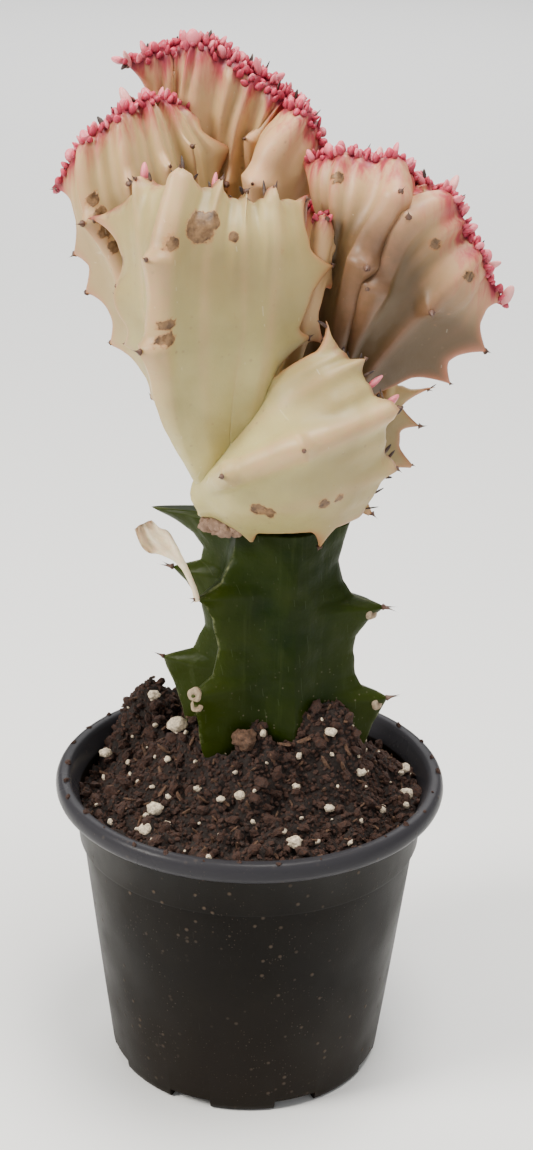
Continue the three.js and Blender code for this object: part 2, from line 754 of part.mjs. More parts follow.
// ---------------------------------------------------------------- withered leaf
// A dry leaf hanging on at a front tooth: [x, y, z, width, thickness] along its middle, from the tooth.
const LEAF_TOOTH = [219, 62];
const LEAF = [
  [0.1, 0, -0.4, 1.8, 1.5],
  [-0.1, 0, 2.2, 1.7, 1.3],
  [-1.0, 0.2, 4.9, 1.8, 1.2],
  [-3.4, 1.2, 8.9, 1.9, 1.1],
  [-6.4, 2.2, 12.6, 2.8, 1.0],
  [-9.8, 3.0, 15.0, 5.4, 0.9],
  [-12.8, 3.6, 16.8, 7.6, 0.9],
  [-15.0, 4.0, 18.8, 6.6, 0.8],
];
function leafSolid() {
  const hold = stemTooth(...LEAF_TOOTH).place;
  const spots = LEAF.map(([x, y, z]) => vector([x, y, z]).add(hold));
  const rings = LEAF.map(([, , , width, thickness], i) => {
    const along = spots[Math.min(i + 1, LEAF.length - 1)].clone().sub(spots[Math.max(i - 1, 0)]).normalize();
    const deep = vector([0.25, -1, 0.1]).cross(along).normalize();
    const thin = along.clone().cross(deep).normalize();
    return Array.from({ length: 10 }, (_, k) => {
      const a = (k * 2 * Math.PI) / 10;
      const curl = 0.16 * width * (Math.cos(a) ** 2 - 0.5);
      return spots[i]
        .clone()
        .addScaledVector(deep, (width / 2) * Math.cos(a))
        .addScaledVector(thin, (thickness / 2) * Math.sin(a) + curl);
    });
  });
  return solid(loft(rings));
}

// ---------------------------------------------------------------- assembly
const plant = new THREE.Group();
plant.name = "potted_euphorbia";
function place(name, shape, finish) {
  const mesh = new THREE.Mesh(shape.isBufferGeometry ? shape : geometryOf(shape), paint(finish));
  mesh.name = name;
  plant.add(mesh);
}

// Spines on the rootstock: [azimuth, level, length].
const STEM_SPINES = [
  [-6, 54.5, 2.6],
  [-6, 25.7, 2.4],
  [80, 62, 2.6],
  [80, 33.5, 2.4],
  [170, 62, 3.4],
  [170, 33.5, 3.2],
  [219, 62, 2.8],
];
// Corky leaf scars on the rootstock's ribs: [azimuth, level, radius].
const STEM_SCARS = [
  [219, 33.6, 1.8],
  [219, 29.5, 1.6],
  [-9, 53.6, 1.7],
  [-9, 24.6, 1.7],
];
// Spines on the crest: [fan, rib, share of the rib's length, length].
const CREST_SPINES = [
  ["left", 0, 0.8, 2.4],
  ["left", 0, 1, 2.2],
  ["crown", 0, 1, 2.4],
  ["crown", 4, 0.88, 2.4],
  ["right", 2, 0.73, 2.6],
  ["right", 4, 0.68, 2.6],
  ["right", 6, 0.8, 2.4],
  ["front", 0, 0.56, 3.0],
  ["front", 2, 0.78, 2.4],
  ["front", 6, 0.52, 2.8],
  ["low_right", 0, 1, 2.8],
  ["low_back_right", 2, 1, 2.6],
  ["rear", 1, 0.7, 2.6],
  ["rear", 3, 0.75, 2.6],
];

const stemParts = [
  ...STEM_SPINES.map(([azimuth, level, length], i) => {
    const { place: at, out } = stemTooth(azimuth, level);
    const made = spine(length, 0.7, at.addScaledVector(out, -0.2), out);
    return { name: `stem_spine_${i + 1}`, finish: colour.spine, ...made };
  }),
  ...STEM_SCARS.map(([azimuth, level, radius], i) => {
    const { place: at, out } = stemTooth(azimuth, level);
    const face = out.clone().add(vector([0.15, -1.04, 0.25])).normalize();
    const made = scar(radius, at.addScaledVector(out, -1.8), face);
    return { name: `leaf_scar_${i + 1}`, finish: colour.scar, ...made };
  }),
];
const crestParts = CREST_SPINES.map(([name, k, share, length], i) => {
  const fan = CREST_FANS.find((f) => f.name === name);
  const last = fan.ribs.length - 1;
  const onEdge = k === 0 || k === last;
  const { place: at, normal, across, along } = fanPoint(fan, k, onLevel(fan, share), 1);
  const out = onEdge ? across.clone().multiplyScalar(k === 0 ? -1 : 1) : normal.clone();
  out.addScaledVector(along, share === 1 ? 1.2 : 0.35).normalize();
  at.add(GRAFT).addScaledVector(out, -0.3 * CREST_SCALE);
  const made = spine(length, 0.65, at, out, CREST_SCALE);
  return { name: `crest_spine_${i + 1}`, finish: colour.spine, ...made };
});
const callusAt = GRAFT.clone().add(vector([-15.5, -13.5, 2.2]));
const callus = lump([4.6, 3.6, 3.4], 2, callusAt, 2);

const rootstock = stemParts.reduce((body, part) => body.subtract(part.seat), solid(stemGeometry()));
const crest = [...crestParts, callus].reduce((body, part) => body.subtract(part.seat), crestSolid());
const stemSpace = solid(stemGeometry(GAP));
const leaf = stemParts.reduce((body, part) => body.subtract(part.seat), leafSolid().subtract(stemSpace));
const grains = GRAINS.map(([x0, y0, radius], i) => {
  const most = potInside(SOIL_EDGE_Z) - 1.3 * radius - 2 * GAP; // clear of the wall
  const inward = Math.min(1, most / Math.hypot(x0, y0));
  const [x, y] = [x0 * inward, y0 * inward];
  const at = vector([x, y, mixTop(x, y) + radius * 0.45]);
  const made = lump([radius, radius * 0.85, radius * 0.75], i, at);
  return { name: `perlite_${i + 1}`, finish: colour.perlite, ...made };
});
const CLOD = [-1.5, -18.5];
const clodAt = vector([...CLOD, mixTop(...CLOD) + 1.2]);
const clod = lump([4, 3.6, 3.4], 5, clodAt, 2);

place("pot", potGeometry(), colour.pot);
place("potting_mix", mixSolid([...grains, clod].map((part) => part.seat)), colour.mix);
place("clod", clod.body.subtract(stemSpace), colour.mix);
for (const part of grains) place(part.name, part.body.subtract(stemSpace), part.finish);
place("rootstock", largest(rootstock), colour.stem);
for (const part of stemParts) place(part.name, part.body, part.finish);
place("withered_leaf", largest(leaf), colour.leaf);
place("graft_callus", largest(callus.body.subtract(stemSpace)), colour.callus);
place("crest", largest(crest), colour.crest);
for (const part of crestParts) place(part.name, part.body, part.finish);

export default plant;
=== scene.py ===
# %% [markdown]
# # A crested euphorbia in a nursery pot
#
# This notebook dresses the imported CAD model of a grafted plant: a pale crest, folded like a stack of fans,
# grown on a green winged rootstock in a black pot. Every cell before a step says what the real thing is, how
# it could be made, and why it is made this way here.
#
# The CAD model is fixed. It is loaded first.

# %% Load the fixed frame
import math

import bpy
import numpy as np
from mathutils import Matrix, Vector


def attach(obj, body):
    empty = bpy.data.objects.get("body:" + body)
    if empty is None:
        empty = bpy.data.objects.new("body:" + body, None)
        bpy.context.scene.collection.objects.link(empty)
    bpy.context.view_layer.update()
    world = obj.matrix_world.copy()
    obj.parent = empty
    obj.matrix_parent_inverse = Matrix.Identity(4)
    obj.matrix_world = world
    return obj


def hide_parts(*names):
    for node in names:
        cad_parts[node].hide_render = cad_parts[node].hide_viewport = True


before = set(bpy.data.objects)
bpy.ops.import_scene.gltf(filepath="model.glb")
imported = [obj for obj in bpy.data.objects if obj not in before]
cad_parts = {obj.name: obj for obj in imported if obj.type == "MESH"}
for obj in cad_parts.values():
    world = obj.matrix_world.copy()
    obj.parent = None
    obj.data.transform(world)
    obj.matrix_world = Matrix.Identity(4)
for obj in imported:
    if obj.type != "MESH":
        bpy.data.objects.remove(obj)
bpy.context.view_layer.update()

# %% [markdown]
# ## The camera first
#
# The plant is looked down on from a little above the rim, close enough that the pot's round mouth opens up.
# A camera is a place and three directions. Pitch tips it down, and a small roll lets the plant lean as it
# does when a camera is held by hand. The lens follows from how large the plant stands in the frame.

# %% Camera
MM = 0.001
CAMERA_TARGET = Vector((3.6, 0, 155)) * MM
CAMERA_DISTANCE = 571 * MM
CAMERA_PITCH = math.radians(22.3)
CAMERA_ROLL = math.radians(1.3)
CAMERA_LENS, SENSOR_WIDTH = 62.6, 36


def make_camera():
    back = Vector((0, -math.cos(CAMERA_PITCH), math.sin(CAMERA_PITCH)))
    level_right = Vector((1, 0, 0))
    level_up = back.cross(level_right)
    right = level_right * math.cos(CAMERA_ROLL) + level_up * math.sin(CAMERA_ROLL)
    up = back.cross(right)
    camera = bpy.data.objects.new("camera", bpy.data.cameras.new("camera"))
    turn = Matrix((right, up, back)).transposed().to_4x4()
    camera.matrix_world = Matrix.Translation(CAMERA_TARGET + back * CAMERA_DISTANCE) @ turn
    camera.data.sensor_width = SENSOR_WIDTH
    camera.data.lens = CAMERA_LENS
    camera.data.clip_start = 0.01
    bpy.context.scene.collection.objects.link(camera)
    bpy.context.scene.camera = camera
    return camera


camera = make_camera()
print("camera at", [round(c, 3) for c in camera.location])

# %% [markdown]
# ## A pale floor and soft light
#
# A plant is kindest under a big soft source. One wide panel stands high on the left and does most of the
# work, so the left faces of the crest are bright and the right ones fall into a warm shade. A much weaker
# panel opens up the right, one overhead reaches the mix, and one far behind keeps the floor there pale. A
# pale world fills what is left.


# %% Stage
def area_light(name, place, target, size, power, tint):
    light = bpy.data.lights.new(name, "AREA")
    light.shape = "DISK"
    light.size = size
    light.energy = power
    light.color = tint
    lamp = bpy.data.objects.new(name, light)
    lamp.location = place
    lamp.rotation_euler = (Vector(target) - Vector(place)).to_track_quat("-Z", "Y").to_euler()
    bpy.context.scene.collection.objects.link(lamp)


area_light("key", (-0.95, -0.42, 0.92), (0, 0, 0.17), 0.5, 22, (1.0, 0.97, 0.90))
area_light("fill", (0.9, -0.9, 0.5), (0, 0, 0.15), 0.9, 2.2, (0.93, 0.96, 1.0))
area_light("top", (0.15, -0.1, 1.1), (0, 0, 0.22), 0.5, 14, (1.0, 0.97, 0.91))
area_light("far_floor", (0, 2.2, 1.5), (0, 2.2, 0), 2.4, 46, (1.0, 1.0, 1.0))

world = bpy.data.worlds.new("studio")
world.use_nodes = True
sky = world.node_tree.nodes["Background"]
sky.inputs["Color"].default_value = (1.0, 1.0, 1.0, 1)
sky.inputs["Strength"].default_value = 0.46
bpy.context.scene.world = world

FLOOR_REACH = 3  # metres from the middle to each side
floor_corners = [(x * FLOOR_REACH, y * FLOOR_REACH, 0) for x, y in ((-1, -1), (1, -1), (1, 1), (-1, 1))]
floor_mesh = bpy.data.meshes.new("floor")
floor_mesh.from_pydata(floor_corners, [], [(0, 1, 2, 3)])
floor = bpy.data.objects.new("floor", floor_mesh)
bpy.context.scene.collection.objects.link(floor)
floor_paint = bpy.data.materials.new("floor_paint")
floor_paint.use_nodes = True
floor_shader = floor_paint.node_tree.nodes["Principled BSDF"]
floor_shader.inputs["Base Color"].default_value = (0.93, 0.93, 0.92, 1)
floor_shader.inputs["Roughness"].default_value = 0.8
floor_mesh.materials.append(floor_paint)
print("stage: 4 soft lights and a floor")

# %% [markdown]
# ## Small helpers
#
# Everything is worked out in millimetres and turned into metres only when a mesh is made, which keeps the
# numbers easy to read. `make_piece` takes points, faces and any number of per-point values, such as "how near
# the growing edge", which the materials read later by name. `ripple` is a soft random field: a handful of
# waves in random directions, so the same seed always gives the same bumps.


# %% Mesh and number helpers
def make_piece(name, points, faces, smooth=True, **values):
    """A mesh object at the origin from points in millimetres, with named values on its points."""
    mesh = bpy.data.meshes.new(name)
    mesh.from_pydata((np.asarray(points, float) * MM).tolist(), [], [list(map(int, f)) for f in faces])
    for key, array in values.items():
        array = np.asarray(array, float)
        kind = "FLOAT_VECTOR" if array.ndim == 2 else "FLOAT"
        attribute = mesh.attributes.new(key, kind, "POINT")
        attribute.data.foreach_set("vector" if array.ndim == 2 else "value", array.ravel().astype(np.float32))
    if smooth and len(faces):
        mesh.shade_smooth()
    mesh.update()
    piece = bpy.data.objects.new(name, mesh)
    bpy.context.scene.collection.objects.link(piece)
    return piece


def ripple(points, size, seed, waves=14):
    """Soft random bumps between about -1 and 1, whose width is about size."""
    dice = np.random.default_rng(seed)
    ways = dice.normal(size=(waves, 3))
    ways /= np.linalg.norm(ways, axis=1)[:, None]
    ways *= 2 * np.pi / (size * dice.uniform(0.7, 1.6, (waves, 1)))
    phases = dice.uniform(0, 2 * np.pi, waves)
    return np.sin(np.asarray(points, float) @ ways.T + phases).sum(1) / math.sqrt(waves) * 0.9


def ease(low, high, x):
    t = np.clip((np.asarray(x, float) - low) / (high - low), 0, 1)
    return t * t * (3 - 2 * t)


def unit(vectors):
    return vectors / np.maximum(np.linalg.norm(vectors, axis=-1, keepdims=True), 1e-9)


def grid_faces(rows, columns):
    """Quads over rows of points, where each row closes on itself."""
    faces = []
    for j in range(rows - 1):
        for i in range(columns):
            a, b = j * columns + i, j * columns + (i + 1) % columns
            faces.append((a, b, b + columns, a + columns))
    return faces


def tube(stations):
    """A closed skin over rings of points: stations is an array of rings, and each end gets a cap."""
    stations = np.asarray(stations, float)
    rows, columns = stations.shape[:2]
    faces = grid_faces(rows, columns)
    points = np.vstack([stations.reshape(-1, 3), stations[0].mean(0), stations[-1].mean(0)])
    low, high = len(points) - 2, len(points) - 1
    first = (rows - 1) * columns
    faces += [(low, (i + 1) % columns, i) for i in range(columns)]
    faces += [(high, first + i, first + (i + 1) % columns) for i in range(columns)]
    return points, faces


def join_skins(skins):
    """Puts several (points, faces) skins into one."""
    faces, start = [], 0
    for points, quads in skins:
        faces += [tuple(start + p for p in quad) for quad in quads]
        start += len(points)
    return np.vstack([points for points, _ in skins]), faces


# %% [markdown]
# ## Geometry Nodes without the mouse
#
# A node tree is built here the way a recipe is written: add a node, join it to the ones before it. `grow`
# adds one node and fills its sockets, either with a number or with another node's output. Every tree in this
# notebook starts with named inputs for its sizes and ends by making its copies real and giving them a
# material.


# %% Node helpers
def grow(tree, kind, *links, **settings):
    """Adds a node. links are (socket, value) pairs, where a value may be another node's output."""
    node = tree.nodes.new(kind)
    for key, value in settings.items():
        setattr(node, key, value)
    for socket, value in links:
        if isinstance(value, bpy.types.NodeSocket):
            tree.links.new(value, node.inputs[socket])
        else:
            node.inputs[socket].default_value = value
    return node


def geometry_tree(name, **sizes):
    """A tree with Geometry in and out and one named number for each size."""
    tree = bpy.data.node_groups.new(name, "GeometryNodeTree")
    tree.interface.new_socket("Geometry", in_out="INPUT", socket_type="NodeSocketGeometry")
    for key, value in sizes.items():
        kind = "NodeSocketInt" if isinstance(value, int) else "NodeSocketFloat"
        tree.interface.new_socket(key, in_out="INPUT", socket_type=kind).default_value = value
    tree.interface.new_socket("Geometry", in_out="OUTPUT", socket_type="NodeSocketGeometry")
    return tree, tree.nodes.new("NodeGroupInput").outputs, tree.nodes.new("NodeGroupOutput").inputs


def finish_tree(tree, result, geometry, material, flat=False):
    """Makes the copies real, shades them and gives them their material."""
    real = grow(tree, "GeometryNodeRealizeInstances", ("Geometry", geometry))
    shade = grow(
        tree, "GeometryNodeSetShadeSmooth", ("Geometry", real.outputs[0]), ("Shade Smooth", not flat)
    )
    paint = grow(tree, "GeometryNodeSetMaterial", ("Geometry", shade.outputs[0]), ("Material", material))
    tree.links.new(paint.outputs[0], result["Geometry"])


def run_tree(piece, tree, **sizes):
    """Runs the tree on a piece and keeps what comes out as the piece's plain mesh."""
    modifier = piece.modifiers.new(tree.name, "NODES")
    modifier.node_group = tree
    sockets = {s.name: s.identifier for s in tree.interface.items_tree if s.in_out == "INPUT"}
    for key, value in sizes.items():
        modifier[sockets[key]] = value
    view = bpy.context.evaluated_depsgraph_get()
    mesh = bpy.data.meshes.new_from_object(piece.evaluated_get(view), depsgraph=view)
    piece.modifiers.clear()
    piece.data = mesh
    return piece


def random_between(tree, low, high, seed):
    """A different number for every point or copy. Sockets go by number, because their names repeat."""
    return grow(tree, "FunctionNodeRandomValue", (2, low), (3, high), (8, seed), data_type="FLOAT").outputs[1]


def random_turn(tree, tilt, seed):
    """A turn of any amount about the upright and a small tilt the other two ways."""
    low, high = (-tilt, -tilt, -math.pi), (tilt, tilt, math.pi)
    angles = grow(tree, "FunctionNodeRandomValue", (0, low), (1, high), (8, seed), data_type="FLOAT_VECTOR")
    return grow(tree, "FunctionNodeEulerToRotation", ("Euler", angles.outputs[0])).outputs[0]


# %% [markdown]
# ## Shader groups: effects that several skins share
#
# Dust, blotches and fine scratches fall on the pot, the stem and the crest alike, so each is one node group
# with its own knobs. A group only ever puts out a mask or a value; the shader that uses it stays in the
# material, where its plain numbers can be read.


# %% Shader groups
def shader_group(name, inputs, outputs):
    tree = bpy.data.node_groups.new(name, "ShaderNodeTree")
    for key, value in inputs.items():
        kind = "NodeSocketVector" if isinstance(value, tuple) else "NodeSocketFloat"
        tree.interface.new_socket(key, in_out="INPUT", socket_type=kind).default_value = value
    for key in outputs:
        tree.interface.new_socket(key, in_out="OUTPUT", socket_type="NodeSocketFloat")
    return tree, tree.nodes.new("NodeGroupInput").outputs, tree.nodes.new("NodeGroupOutput").inputs


def span(tree, value, low, high, to_low=0.0, to_high=1.0):
    """Maps low..high to to_low..to_high and holds it there."""
    return grow(
        tree, "ShaderNodeMapRange", ("Value", value), ("From Min", low), ("From Max", high),
        ("To Min", to_low), ("To Max", to_high),
    ).outputs[0]


def maths(tree, operation, a, b=0.0):
    return grow(tree, "ShaderNodeMath", (0, a), (1, b), operation=operation).outputs[0]


def make_dust_group():
    """Specks: small round spots, kept only where a slow noise says that dust has gathered."""
    tree, given, result = shader_group(
        "dust", {"Vector": (0.0, 0.0, 0.0), "Size": 900.0, "Amount": 0.4, "Gather": 40.0}, ["Mask"]
    )
    spots = grow(tree, "ShaderNodeTexVoronoi", ("Vector", given["Vector"]), ("Scale", given["Size"]))
    dots = span(tree, spots.outputs["Distance"], 0.12, 0.3, 1.0, 0.0)
    chosen = grow(tree, "ShaderNodeSeparateColor", ("Color", spots.outputs["Color"])).outputs[0]
    kept = maths(tree, "LESS_THAN", chosen, given["Amount"])
    cloud = grow(
        tree, "ShaderNodeTexNoise", ("Vector", given["Vector"]), ("Scale", given["Gather"]), ("Detail", 3.0)
    )
    gather = span(tree, cloud.outputs[0], 0.42, 0.62)
    mask = maths(tree, "MULTIPLY", maths(tree, "MULTIPLY", dots, kept), gather)
    tree.links.new(mask, result["Mask"])
    return tree


def make_blotch_group():
    """Soft cloudy patches, with a harder-edged second output for scabs and stains."""
    tree, given, result = shader_group(
        "blotch", {"Vector": (0.0, 0.0, 0.0), "Size": 60.0, "Roughen": 0.6}, ["Soft", "Hard"]
    )
    cloud = grow(
        tree, "ShaderNodeTexNoise", ("Vector", given["Vector"]), ("Scale", given["Size"]), ("Detail", 5.0),
        ("Roughness", given["Roughen"]),
    )
    tree.links.new(span(tree, cloud.outputs[0], 0.3, 0.7), result["Soft"])
    tree.links.new(span(tree, cloud.outputs[0], 0.56, 0.62), result["Hard"])
    return tree


def make_scratch_group():
    """Fine straight lines that stand upright, a little aslant, and broken up so that few are long."""
    tree, given, result = shader_group(
        "scratch", {"Vector": (0.0, 0.0, 0.0), "Size": 260.0, "Stretch": 1.0, "Amount": 0.5}, ["Mask"]
    )
    axes = grow(tree, "ShaderNodeSeparateXYZ", ("Vector", given["Vector"]))
    across = maths(tree, "ADD", axes.outputs[0], maths(tree, "MULTIPLY", axes.outputs[1], 0.6))
    aslant = maths(tree, "ADD", across, maths(tree, "MULTIPLY", axes.outputs[2], 0.12))
    lanes = maths(tree, "MULTIPLY", aslant, given["Size"])
    thin = maths(tree, "ABSOLUTE", maths(tree, "SUBTRACT", maths(tree, "FRACT", lanes), 0.5))
    line = span(tree, thin, 0.0, 0.04, 1.0, 0.0)
    lane = maths(tree, "MULTIPLY", maths(tree, "FLOOR", lanes), 3.7)
    height = maths(tree, "MULTIPLY", axes.outputs[2], given["Size"])
    height = maths(tree, "MULTIPLY", height, given["Stretch"])
    spot = grow(tree, "ShaderNodeCombineXYZ", (0, lane), (2, height))
    breaks = grow(tree, "ShaderNodeTexNoise", ("Vector", spot.outputs[0]), ("Scale", 1.0), ("Detail", 1.0))
    kept = maths(tree, "LESS_THAN", breaks.outputs[0], given["Amount"])
    tree.links.new(maths(tree, "MULTIPLY", line, kept), result["Mask"])
    return tree


DUST = make_dust_group()
BLOTCH = make_blotch_group()
SCRATCH = make_scratch_group()
print("shader groups:", DUST.name, BLOTCH.name, SCRATCH.name)


# %% Material helpers
def make_material(name, roughness, **plain):
    """A material with a Principled shader, and the place on the object to hang patterns on."""
    material = bpy.data.materials.new(name)
    material.use_nodes = True
    tree = material.node_tree
    shader = tree.nodes["Principled BSDF"]
    shader.inputs["Roughness"].default_value = roughness
    for key, value in plain.items():
        shader.inputs[key.replace("_", " ")].default_value = value
    place = grow(tree, "ShaderNodeTexCoord").outputs["Object"]
    return material, tree, shader, place


def use_group(tree, group, *links):
    return grow(tree, "ShaderNodeGroup", *links, node_tree=group)


def blend_colour(tree, mask, first, second):
    """first where the mask is 0 and second where it is 1; each may be a colour or an output."""
    node = grow(tree, "ShaderNodeMix", (0, mask), data_type="RGBA")
    for socket, value in ((6, first), (7, second)):
        if isinstance(value, bpy.types.NodeSocket):
            tree.links.new(value, node.inputs[socket])
        else:
            node.inputs[socket].default_value = (*value, 1)
    return node.outputs[2]


def raise_bumps(tree, shader, height, depth, strength):
    """Turns a height into a bump on the shader's normal; depth is in millimetres."""
    bump = grow(
        tree, "ShaderNodeBump", ("Strength", strength), ("Distance", depth * MM), ("Height", height)
    )
    tree.links.new(bump.outputs[0], shader.inputs["Normal"])


def value_of(tree, name):
    return grow(tree, "ShaderNodeAttribute", attribute_name=name, attribute_type="GEOMETRY").outputs["Fac"]


def noise(tree, place, scale, detail=3.0, roughness=0.5):
    return grow(
        tree, "ShaderNodeTexNoise", ("Vector", place), ("Scale", scale), ("Detail", detail),
        ("Roughness", roughness),
    ).outputs[0]


# %% [markdown]
# ## The pot
#
# A nursery pot is blown or moulded thin: a tapered wall, a slightly wider collar so that pots nest without
# jamming, and a rolled rim that takes the fingers. Its shape follows one rule, a profile turned about an
# axis, so a Geometry Nodes tree turns it: the profile is swept round a circle, and a ring of boxes cuts the
# drain slots at the foot. The rim is glossier than the wall because hands and trays polish it, and its
# blue-black plastic is painted a lighter blue-grey than the wall as a painted sheen.

# %% Pot sizes and profile
POT_HEIGHT, RIM_HEIGHT, COLLAR_HEIGHT = 93.0, 6.0, 20.5
FOOT_RADIUS, WALL_RADIUS, COLLAR_STEP, COLLAR_FLARE, RIM_OVERHANG = 41.0, 49.6, 1.2, 1.2, 5.5
WALL, FLOOR_THICKNESS = 1.4, 2.0
POT_SIDES = 144
SLOTS, SLOT_WIDTH, SLOT_DEPTH, SLOT_HEIGHT = 8, 13.0, 8.0, 3.2
COLLAR_Z = POT_HEIGHT - COLLAR_HEIGHT
RIM_UNDER_Z = POT_HEIGHT - RIM_HEIGHT
COLLAR_RADIUS = WALL_RADIUS + COLLAR_STEP
COLLAR_TOP_RADIUS = COLLAR_RADIUS + COLLAR_FLARE
RIM_RADIUS = COLLAR_TOP_RADIUS + RIM_OVERHANG


def pot_inside(z):
    levels = [0, COLLAR_Z - 1, COLLAR_Z + 1, RIM_UNDER_Z]
    return np.interp(z, levels, [FOOT_RADIUS, WALL_RADIUS, COLLAR_RADIUS, COLLAR_TOP_RADIUS]) - WALL


def pot_profile():
    """The pot's cut edge as (radius, height), from the middle of the underside round to the inside."""
    rim = []
    for k in range(9):
        a = math.radians(-80 + 20 * k)
        rim.append((RIM_RADIUS - 2.2 + 2.2 * math.cos(a), POT_HEIGHT - 3.1 + 3.1 * math.sin(a)))
    outside = [
        (0, 0), (30, 0), (FOOT_RADIUS - 2, 0), (FOOT_RADIUS - 0.8, 0.2), (FOOT_RADIUS - 0.1, 0.9),
        (FOOT_RADIUS + 0.2, 2.2), (FOOT_RADIUS + 2.9, COLLAR_Z * 0.33), (FOOT_RADIUS + 5.8, COLLAR_Z * 0.67),
        (WALL_RADIUS - 0.05, COLLAR_Z - 0.6), (WALL_RADIUS, COLLAR_Z - 0.1),
        (COLLAR_RADIUS - 0.2, COLLAR_Z + 0.5), (COLLAR_RADIUS, COLLAR_Z + 1.1),
        (COLLAR_TOP_RADIUS - 0.1, RIM_UNDER_Z - 0.6),
        (COLLAR_TOP_RADIUS + 0.3, RIM_UNDER_Z - 0.1), (RIM_RADIUS - 2.6, RIM_UNDER_Z + 0.02),
    ]
    lip = [
        (RIM_RADIUS - 3.4, POT_HEIGHT - 0.1), (COLLAR_TOP_RADIUS + 1.4, POT_HEIGHT - 0.6),
        (COLLAR_TOP_RADIUS + 0.7, POT_HEIGHT - 1.6), (COLLAR_TOP_RADIUS - 0.2, POT_HEIGHT - 4),
    ]
    inside = [(float(pot_inside(z)), z) for z in (RIM_UNDER_Z, COLLAR_Z + 1, COLLAR_Z - 1, 30, 3.7)]
    return outside + rim + lip + inside + [(FOOT_RADIUS - 3.4, FLOOR_THICKNESS), (0, FLOOR_THICKNESS)]


PROFILE = pot_profile()
print("pot profile:", len(PROFILE), "points, rim", 2 * RIM_RADIUS, "mm across")


# %% Pot material: black plastic, dusty, with fine moulding lines
def make_pot_plastic():
    material, tree, shader, place = make_material("pot_plastic", 0.42, IOR=1.46, Specular_IOR_Level=0.10)
    axes = grow(tree, "ShaderNodeSeparateXYZ", ("Vector", place))
    rim = span(tree, axes.outputs[2], (RIM_UNDER_Z - 0.3) * MM, (RIM_UNDER_Z + 0.3) * MM)
    cloud = use_group(tree, BLOTCH, ("Vector", place), ("Size", 38.0))
    wall = blend_colour(tree, cloud.outputs["Soft"], (0.0020, 0.0011, 0.0003), (0.0044, 0.0027, 0.0009))
    # The rim is painted a lighter blue-grey than the wall: its own blue-black tone with a painted sheen.
    body = blend_colour(tree, rim, wall, (0.028, 0.027, 0.031))
    low = span(tree, axes.outputs[2], 0.0, 0.045, 1.0, 0.0)
    soiled = blend_colour(tree, maths(tree, "MULTIPLY", low, 0.35), body, (0.020, 0.013, 0.008))
    dust = use_group(tree, DUST, ("Vector", place), ("Size", 420.0), ("Amount", 0.16), ("Gather", 26.0))
    fine = use_group(tree, DUST, ("Vector", place), ("Size", 1300.0), ("Amount", 0.18), ("Gather", 60.0))
    specks = maths(tree, "MAXIMUM", dust.outputs[0], maths(tree, "MULTIPLY", fine.outputs[0], 0.6))
    dusted = blend_colour(tree, maths(tree, "MULTIPLY", specks, 0.45), soiled, (0.15, 0.11, 0.08))
    scratch = use_group(tree, SCRATCH, ("Vector", place), ("Size", 330.0), ("Amount", 0.36))
    marked = blend_colour(tree, maths(tree, "MULTIPLY", scratch.outputs[0], 0.10), dusted, (0.07, 0.06, 0.05))
    tree.links.new(marked, shader.inputs["Base Color"])
    wear = noise(tree, place, 55.0, 4.0)
    gloss = span(tree, wear, 0.3, 0.7, 0.34, 0.5)
    polished = maths(tree, "SUBTRACT", gloss, maths(tree, "MULTIPLY", rim, 0.1))
    rough = maths(tree, "ADD", polished, maths(tree, "MULTIPLY", specks, 0.35))
    tree.links.new(rough, shader.inputs["Roughness"])
    grain = noise(tree, place, 2400.0, 2.0)
    waves = noise(tree, place, 70.0, 1.0)
    height = maths(tree, "ADD", maths(tree, "MULTIPLY", grain, 0.12), waves)
    raise_bumps(tree, shader, maths(tree, "ADD", height, maths(tree, "MULTIPLY", specks, 0.5)), 0.35, 0.6)
    return material


POT_PLASTIC = make_pot_plastic()


